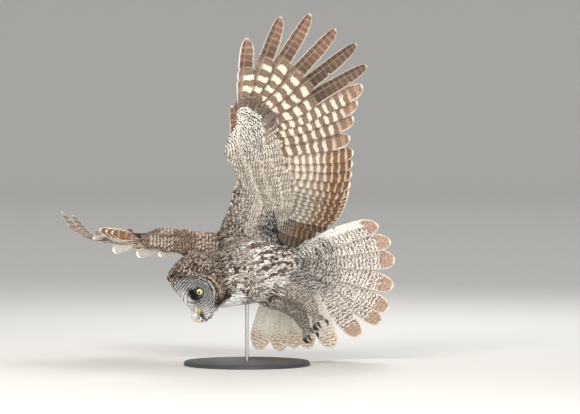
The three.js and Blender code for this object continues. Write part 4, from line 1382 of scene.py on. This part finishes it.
def make_coat(skin, rng):
    # Contour feathers are loose at their edges, so they look dull and soft and their bars are broken
    body_stuff = small_feather_material("soft contour feathers", 11.0, 2.5, 1.0)
    # Shorter and denser on the head, with finer bars, so it looks like a speckled pile
    head_stuff = small_feather_material("short head feathers", 9.0, 2.5, 1.2)
    # Stiff and hair-like on the disc, where their bars join to rings round each eye
    face_stuff = small_feather_material("stiff facial feathers", 6.4, 2.4, 1.2, ringed=True)
    # Wavy fine bars like vermiculation under the wing
    wing_stuff = small_feather_material("wing lining feathers", 9.0, 3.0, 0.6)
    # Nearly plain down-like feathers on legs and toes, with faint bars
    leg_stuff = small_feather_material("leg feathers", 8.0, 1.5, 0.5)
    roots, normals, uvs = skin.scatter(candidates, rng)
    _, shares, on_face = flow_and_parts(roots)
    part = np.array(list(shares))[np.stack(list(shares.values())).argmax(0)]
    local = to_head(roots)
    in_eye = (eye_offset(local)[1] < eye_clearing) & (local[:, 0] > 20)
    at_bill = (local[:, 0] > 30) & (np.hypot(local[:, 1] / 5, (local[:, 2] + 40) / 17) < 1)
    torso = np.isin(part, ["trunk", "neck"])
    front = (roots @ body_axes)[:, 0] > 25
    head = (part == "head") & ~on_face
    at_rim = (local[:, 0] > -12) & (rim_share(local) < 1.1)
    # Where they grow, then their spacing, length, width and lift off the skin in millimetres
    for name, chosen, spacing, length, width, lift, stuff, slot in (
        ("Coat_breast", torso & front, 5.4, 36, 14, 5.5, body_stuff, "body_feathers"),
        ("Coat_belly", torso & ~front, 5.4, 40, 15, 6, body_stuff, "body_feathers"),
        ("Coat_head", head & ~at_rim, 4.2, 17, 8, 3.5, head_stuff, "body_feathers"),
        ("Coat_rim", head & at_rim, 2.7, 10, 4.2, 2.4, head_stuff, "body_feathers"),
        ("Coat_face", (part == "head") & on_face, 2.3, 11, 3.4, 1.8, face_stuff, "body_feathers"),
        ("Coat_wing_left", part == "wing_left", 5.5, 26, 13, 3.5, wing_stuff, "wing_feathers"),
        ("Coat_wing_right", part == "wing_right", 5.5, 26, 13, 3.5, wing_stuff, "wing_feathers"),
        ("Coat_legs", np.char.startswith(part, "leg"), 4.0, 14, 7, 3, leg_stuff, "leg_feathers"),
        ("Coat_toes", np.char.startswith(part, "toe"), 2.6, 7, 3, 1.5, leg_stuff, "leg_feathers"),
    ):
        index = np.nonzero(chosen & ~(in_eye | at_bill))[0]
        index = index[thin_out(roots[index], spacing)]
        index = index[np.argsort(roots[index, 0])]
        pieces = np.array_split(index, math.ceil(len(index) / most_leaves))
        for number, index in enumerate(pieces):
            lengths, widths, lifts = (
                size * rng.uniform(*spread, len(index))
                for size, spread in ((length, (0.8, 1.2)), (width, (0.85, 1.15)), (lift, (0.5, 1.1)))
            )
            leaves = lay_leaves(skin, roots[index], normals[index], lengths, widths, lifts, rng)
            label = name if len(pieces) == 1 else f"{name}_{number + 1}"
            mesh = small_feathers(label, leaves, roots[index], uvs[index], lengths, widths,
                                  paint_small, rng)
            finish_piece(mesh, slot, stuff)


def make_bristles(skin, rng):
    """Long pale bristles from the lores along the sides of the bill, and a few dark ones."""
    count = bristle_count
    side = rng.choice([-1, 1], count)[:, None]
    start = rng.uniform(0, 0.45, count)
    reach = rng.uniform(0.25, 0.55, count)
    drift = rng.uniform(-14, 3.5, count)[:, None]
    share = start[:, None] + reach[:, None] * leaf_places
    spread = rng.uniform(0.05, 1, count)[:, None] ** 0.7
    wide = spread * (4.5 + 4 * np.sin(math.pi * np.clip(share, 0, 1)) - 0.12 * drift)
    out = 60 + 23 * np.sin(1.5 * share) + drift * (1 - 0.45 * share)
    out = out + 10 * (1 - spread) * smoothstep(0, 0.5, share) * smoothstep(-8, -4, drift)
    local = np.stack([out, side * wide, -6 - 46 * share ** 1.1 + 0.25 * drift], -1)
    spine = head_centre + local @ head_axes.T
    ways = unit(np.gradient(spine, axis=1))
    outward = unit(vec(0.35, 0, 0) + np.stack([0 * side, side, 0 * side], -1)) @ head_axes.T
    ups = unit(outward - ways * (outward * ways).sum(2, keepdims=True))
    widths = rng.uniform(1.8, 2.8, count)
    leaves = leaf_points(spine, ups, ways, widths, rng)

    def paint(where, flat, per_feather, draw):
        white = rgb("#f6f3ee") * draw.uniform(0.75, 1.05, (count, 1))
        dark = smoothstep(0.3, 0.4, start) * smoothstep(-8, -11, drift[:, 0])
        colour = np.repeat(tint(white, "#1d1917", dark), per_feather, 0)
        return {"Ground": colour, "Marks": colour * 0.8, "Pattern": 0 * colour}

    uvs = skin.nearest(spine[:, 0])[2]
    mesh = small_feathers("Bristles", leaves, spine[:, 0], uvs, reach * 52, widths, paint, rng)
    # Bare feather shafts: plain and pale, so they stand out as hairs
    finish_piece(mesh, "body_feathers", small_feather_material("bristles beside the bill", 8.0, 1.0, 0.2))


# Coverts of either face: how many, their reach, start, rise and clearance, width, zone and outline
covert_rows = (
    (38, (0.29, 0.42), 6, 5, 9, 32, "edge", "pointed"),
    (50, (0.18, 0.31), 8, 6.5, 10.5, 27, "lining", "covert"),
    (56, (0.1, 0.2), 12, 7.5, 11, 25, "lining", "covert"),
    (60, (0.08, 0.14), 34, 7, 11.5, 24, "lining", "covert"),
)
clearance_shift = 1.5  # the coverts above lie this much closer to the quills, and those below further
# Coverts of the tail: how many, their start, rise and clearance, reach and width
tail_covert_rows = ((20, 6, 11, 12, 0.42, 36), (22, 12, 15, 15, 0.33, 32), (24, 16, 18, 17, 0.25, 28))


def make_wings(rng):
    # Firm vanes look satin, and their bars waver a little from barb to barb
    flight = vane_material("barred flight feathers", 1.6, 0.055, 0.9)
    # Softer coverts are duller, and their bars break up into fine waves
    covert = vane_material("vermiculated wing coverts", 3.6, 0.13, 0.9, roughness=0.75)
    # Pale, faintly polished horn, so the shafts show as thin light lines
    horn = plain_material("horn of the shafts", "#a8947a", 0.45, scale=900)
    for name, (primaries, arm) in quill_sets.items():
        wing = large_feathers("Vanes_" + name, primaries + arm, flight_grid, rng, paint_flight, 3)
        finish_piece(wing, "wing_feathers", flight, name)
        finish_piece(feather_shafts("Shafts_" + name, primaries + arm, 1.7), "wing_feathers", horn)
        for face, side in ((1, "over"), (-1, "under")):
            tiers = []
            for count, reaches, back, rise, clear, width, zone, kind in covert_rows:
                # Under the right wing the coverts take the pale zone's colours: pale feathers greyed with
                # painted shade
                zone = "pale" if name == "wing_right" and face < 0 else zone
                spread = between_quills(primaries[::-1] + arm, count, rng)
                tiers += covert_tier(spread, face, back, rise, clear - clearance_shift * face,
                                     reaches, width, 2.5, zone, rng, kind)
            coverts = large_feathers(f"Coverts_{side}_{name}", tiers, covert_grid, rng, paint_covert, 1)
            finish_piece(coverts, "wing_feathers", covert)
    for name, wing in wings.items():
        shape = quill_frame(wing, *wing["alula"])
        thumb = []
        for i in range(3):
            if name == "wing_left":
                back = 8 * wing["chord"] + 8 * i * shape["along"]
                thumb.append({
                    "kind": "pointed", "root": wing["wrist"] - back - 1.5 * i * shape["up"], **shape,
                    "length": 128 - 24 * i, "outer": 9, "inner": 13, "tilt": 4, "bend": 4, "sweep": 0,
                    "round": 18,
                })
            else:
                start, end = (137, 245 - 2.5 * i), (98 + 6 * i, 230.5 + 1.5 * i)
                thumb.append(facing_quill(start, end, 60 - 2 * i, 33, "pointed", bend=4, tip_round=18))
        alula = large_feathers("Alula_" + name, thumb, alula_grid, rng, paint_flight, 1)
        finish_piece(alula, "wing_feathers", flight)
    make_cape(rng, covert)


def facing_quill(start, end, depth, width, kind, bend=6, zone="cape", tip_round=12):
    """A quill that lies across the view between two places of the picture, this far back."""
    root, tip = (
        vec((x - photo_middle[0]) * millimetres_per_pixel + view_middle[0], depth,
            (photo_middle[1] - y) * millimetres_per_pixel + view_middle[2])
        for x, y in (start, end)
    )
    along = unit(tip - root)
    up = unit(np.cross(along, vec(0.1, 0.35, 1)) * (-1 if along[0] > 0 else 1))
    up = unit(up - along * (along @ up))
    return {
        "kind": kind, "zone": zone, "root": root, "along": along, "up": -up,
        "lead": np.cross(along, up), "length": np.linalg.norm(tip - root),
        "outer": width * 0.45, "inner": width * 0.55, "tilt": 2, "bend": bend, "sweep": 0,
        "round": tip_round,
    }


def make_cape(rng, covert):
    """Shoulder feathers over the right wing's arm, and the pale tips under its leading edge, greyed with
    painted shade.
    """
    cape = []
    for x in 140 + 3.5 * np.arange(20):
        top = np.interp(x, (135, 153, 166, 199, 215), (237, 231, 231, 236, 241))
        bottom = np.interp(x, (135, 178, 215), (243, 251, 256))
        for row in range(6):
            y = mix(bottom, top, row / 5) + rng.uniform(-0.7, 0.7)
            start = (x + rng.uniform(-1, 1), y)
            end = (x + 12, y + 1.5 + rng.normal(0, 0.8))
            depth = np.interp(x, (140, 165, 190, 215), (50, 48, 30, 26)) + 1.2 * row
            cape.append(facing_quill(start, end, depth, 15, "covert"))
    for start, end, depth, width in (
        ((106, 239), (89, 242.5), 214, 12), ((136, 243), (112, 253), 62, 26),
        ((163, 246), (136, 257), 58, 28), ((178, 249), (158, 257), 52, 22),
    ):
        cape.append(facing_quill(start, end, depth, width, "secondary", zone="pale"))
    mesh = large_feathers("Cape_wing_right", cape, covert_grid, rng, paint_covert, 1)
    finish_piece(mesh, "wing_feathers", covert)


def make_tail(rng):
    # Satin vanes with coarse broken mottling
    vanes = vane_material("mottled tail feathers", 6.0, 0.17, 1.7)
    # Softer and duller, with the same mottling
    coverts = vane_material("tail coverts", 6.0, 0.16, 1.4, roughness=0.8)
    # Paler horn than the wings', so the shafts stay light on whitish vanes
    horn = plain_material("horn of the tail shafts", "#cdbfab", 0.45, scale=900)
    quills = tail_quills()
    tail = large_feathers("Vanes_tail", quills, tail_grid, rng, paint_tail, 2)
    finish_piece(tail, "tail_feathers", vanes, "tail")
    finish_piece(feather_shafts("Shafts_tail", quills, 1.5), "tail_feathers", horn)
    tiers = []
    for face in (1, -1):
        for count, back, rise, clear, reach, width in tail_covert_rows:
            spread = between_quills(quills, count, rng)
            tiers += covert_tier(spread, face, back, rise, clear, (reach, reach), width, 1, "tail", rng)
    mesh = large_feathers("Coverts_tail", tiers, covert_grid, rng, paint_covert, 3)
    finish_piece(mesh, "tail_feathers", coverts)


# Eyes, bill and talons
cornea_start = 0.75  # share of the eye's radius past which it bulges
lid_out = 5.6
lid_radius = 9.4


def make_eyes():
    iris = eye_material()
    for side, sign in (("left", 1), ("right", -1)):
        centre = head_point(eye_out, sign * eye_side, eye_up)
        gaze = unit(head_axes @ vec(1, sign * 0.74, -0.03))
        bm = bmesh.new()
        bmesh.ops.create_uvsphere(bm, u_segments=48, v_segments=32, radius=eye_radius - 0.3)
        layer = bm.verts.layers.float.new("Gaze")
        for vertex in bm.verts:
            height = vertex.co.z / eye_radius
            vertex.co.z += max(0, (height - cornea_start) * 3)
            vertex[layer] = math.hypot(vertex.co.x, vertex.co.y) if vertex.co.z > 0 else 20
        turn = Vector((0, 0, 1)).rotation_difference(Vector(gaze)).to_matrix().to_4x4()
        bmesh.ops.transform(bm, matrix=Matrix.Translation(Vector(centre)) @ turn, verts=bm.verts)
        finish_piece(placed_mesh("Eye_" + side, bm), "eye", iris, "eye_" + side)
        a = unit(np.cross(gaze, head_axes[:, 2]))
        b = unit(np.cross(a, gaze))
        rings = []
        for i in range(40):
            out = oval(0, a, b)(2 * math.pi * i / 40)
            rings.append(oval(centre + gaze * lid_out + out * lid_radius, out * 1.5, gaze * 1.7))
        bm = loft(rings + rings[:1], 10, closed=False)
        bmesh.ops.remove_doubles(bm, verts=bm.verts, dist=0.01)
        bmesh.ops.recalc_face_normals(bm, faces=bm.faces)
        # Bare dark skin, a little moist: a thin dark ring that makes the eye stand out
        lid = plain_material("bare lid skin " + side, "#1f1b19", 0.5)
        finish_piece(placed_mesh("Lid_" + side, bm), "body_feathers", lid)


# Stations of the bill: out, up, share of the width and depth
bills = {
    "upper": [(50, -17, 0.9, 7), (64, -20, 1, 9), (74, -27, 0.95, 9.5), (79.5, -36, 0.8, 8.5),
              (82, -46, 0.55, 6.5), (81, -54, 0.28, 3.4), (79, -60, 0.06, 0.5)],
    "lower": [(50, -30, 0.8, 6), (61, -33, 0.8, 6.5), (69, -39, 0.65, 5.5), (74, -46, 0.35, 3),
              (76, -51, 0.1, 0.7)],
}


def make_bill():
    # Smooth waxy horn with a slight sheen along its ridge
    horn = plain_material("yellow bill horn", "#c9ad74", 0.35, scale=500, coat=0.2)
    window = np.hanning(9) / np.hanning(9).sum()
    for part, stations in bills.items():
        fine = np.linspace(0, len(stations) - 1, 6 * len(stations))
        columns = []
        for column in np.array(stations).T:
            raw = np.interp(fine, range(len(stations)), column)
            padded = np.concatenate([2 * raw[0] - raw[4:0:-1], raw, 2 * raw[-1] - raw[-2:-6:-1]])
            columns.append(np.convolve(padded, window, mode="valid"))
        out, up, width, depth = columns
        rings = []
        for i in range(len(fine)):
            ahead, behind = min(i + 1, len(fine) - 1), max(i - 1, 0)
            way = unit(vec(out[ahead] - out[behind], 0, up[ahead] - up[behind]))
            side = head_axes @ vec(0, max(width[i], 0.05) * bill_width / 2, 0)
            high = head_axes @ vec(-way[2], 0, way[0]) * max(depth[i], 0.4)
            rings.append(oval(head_point(out[i], 0, up[i]), side, high))
        finish_piece(placed_mesh("Bill_" + part, loft(rings, 20)), "bill", horn, "bill_" + part)


talon_radii = [4.6, 3.8, 2.6, 0.5]
talon_bend = 11  # how far ahead of the toe a claw starts to turn down
talon_drop = 17.6
talon_hook = 5.5  # how far its point comes back


def make_talons():
    # Polished black keratin, so each claw has a clean highlight
    horn = plain_material("black talon horn", "#2a2623", 0.25, scale=700, coat=0.3)
    for side, leg in legs.items():
        for index in range(4):
            way, shin = toe_way(leg, index)
            toe_end = toe_points(leg, index)
            tangent = unit(toe_end[2] - toe_end[1])
            start = toe_end[2] + tangent * 0.3
            middle = start + tangent * talon_bend
            tip = start + shin * talon_drop - way * talon_hook

            def along_claw(share):
                return start * (1 - share) ** 2 + middle * 2 * share * (1 - share) + tip * share ** 2

            rings = []
            for share in np.arange(9) / 8:
                ahead = unit(along_claw(share + 0.01) - along_claw(share - 0.01))
                a = unit(np.cross(ahead, vec(0.2, 0.9, 0.4)))
                radius = np.interp(share * 3, range(4), talon_radii)
                rings.append(oval(along_claw(share), a * radius, np.cross(ahead, a) * radius))
            name = f"talon_{side}_{index + 1}"
            finish_piece(placed_mesh(name.capitalize(), loft(rings, 14)), "talon", horn, name)


def dress_stand():
    # Powder coating: matt black with the fine orange-peel grain of baked powder
    coating = plain_material("black powder-coated steel", "#3a3a3c", 0.5, scale=1200, depth=0.0002)
    # Brushed steel: a bright metal whose fine grain blurs its reflections
    steel = plain_material("brushed steel", "#b9babb", 0.3, scale=400, metallic=1.0)
    for name, material in (("stand_base", coating), ("stand_rod", steel)):
        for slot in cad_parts[name].material_slots:
            slot.material = material


feather_seed = 20


def make_owl():
    rng = np.random.default_rng(feather_seed)
    mesh = make_skin()
    skin = Skin(mesh)
    ground, marks, _ = plumage(skin.points, flow_and_parts(skin.points)[1])
    add_layer(mesh, "Ground", ground)
    add_layer(mesh, "Marks", marks)
    finish_piece(mesh, "body_feathers", skin_material(), *skin_nodes)
    make_coat(skin, rng)
    make_bristles(skin, rng)
    make_wings(rng)
    make_tail(rng)
    make_eyes()
    make_bill()
    make_talons()


make_camera()
make_stage()
make_lights()
make_owl()
dress_stand()
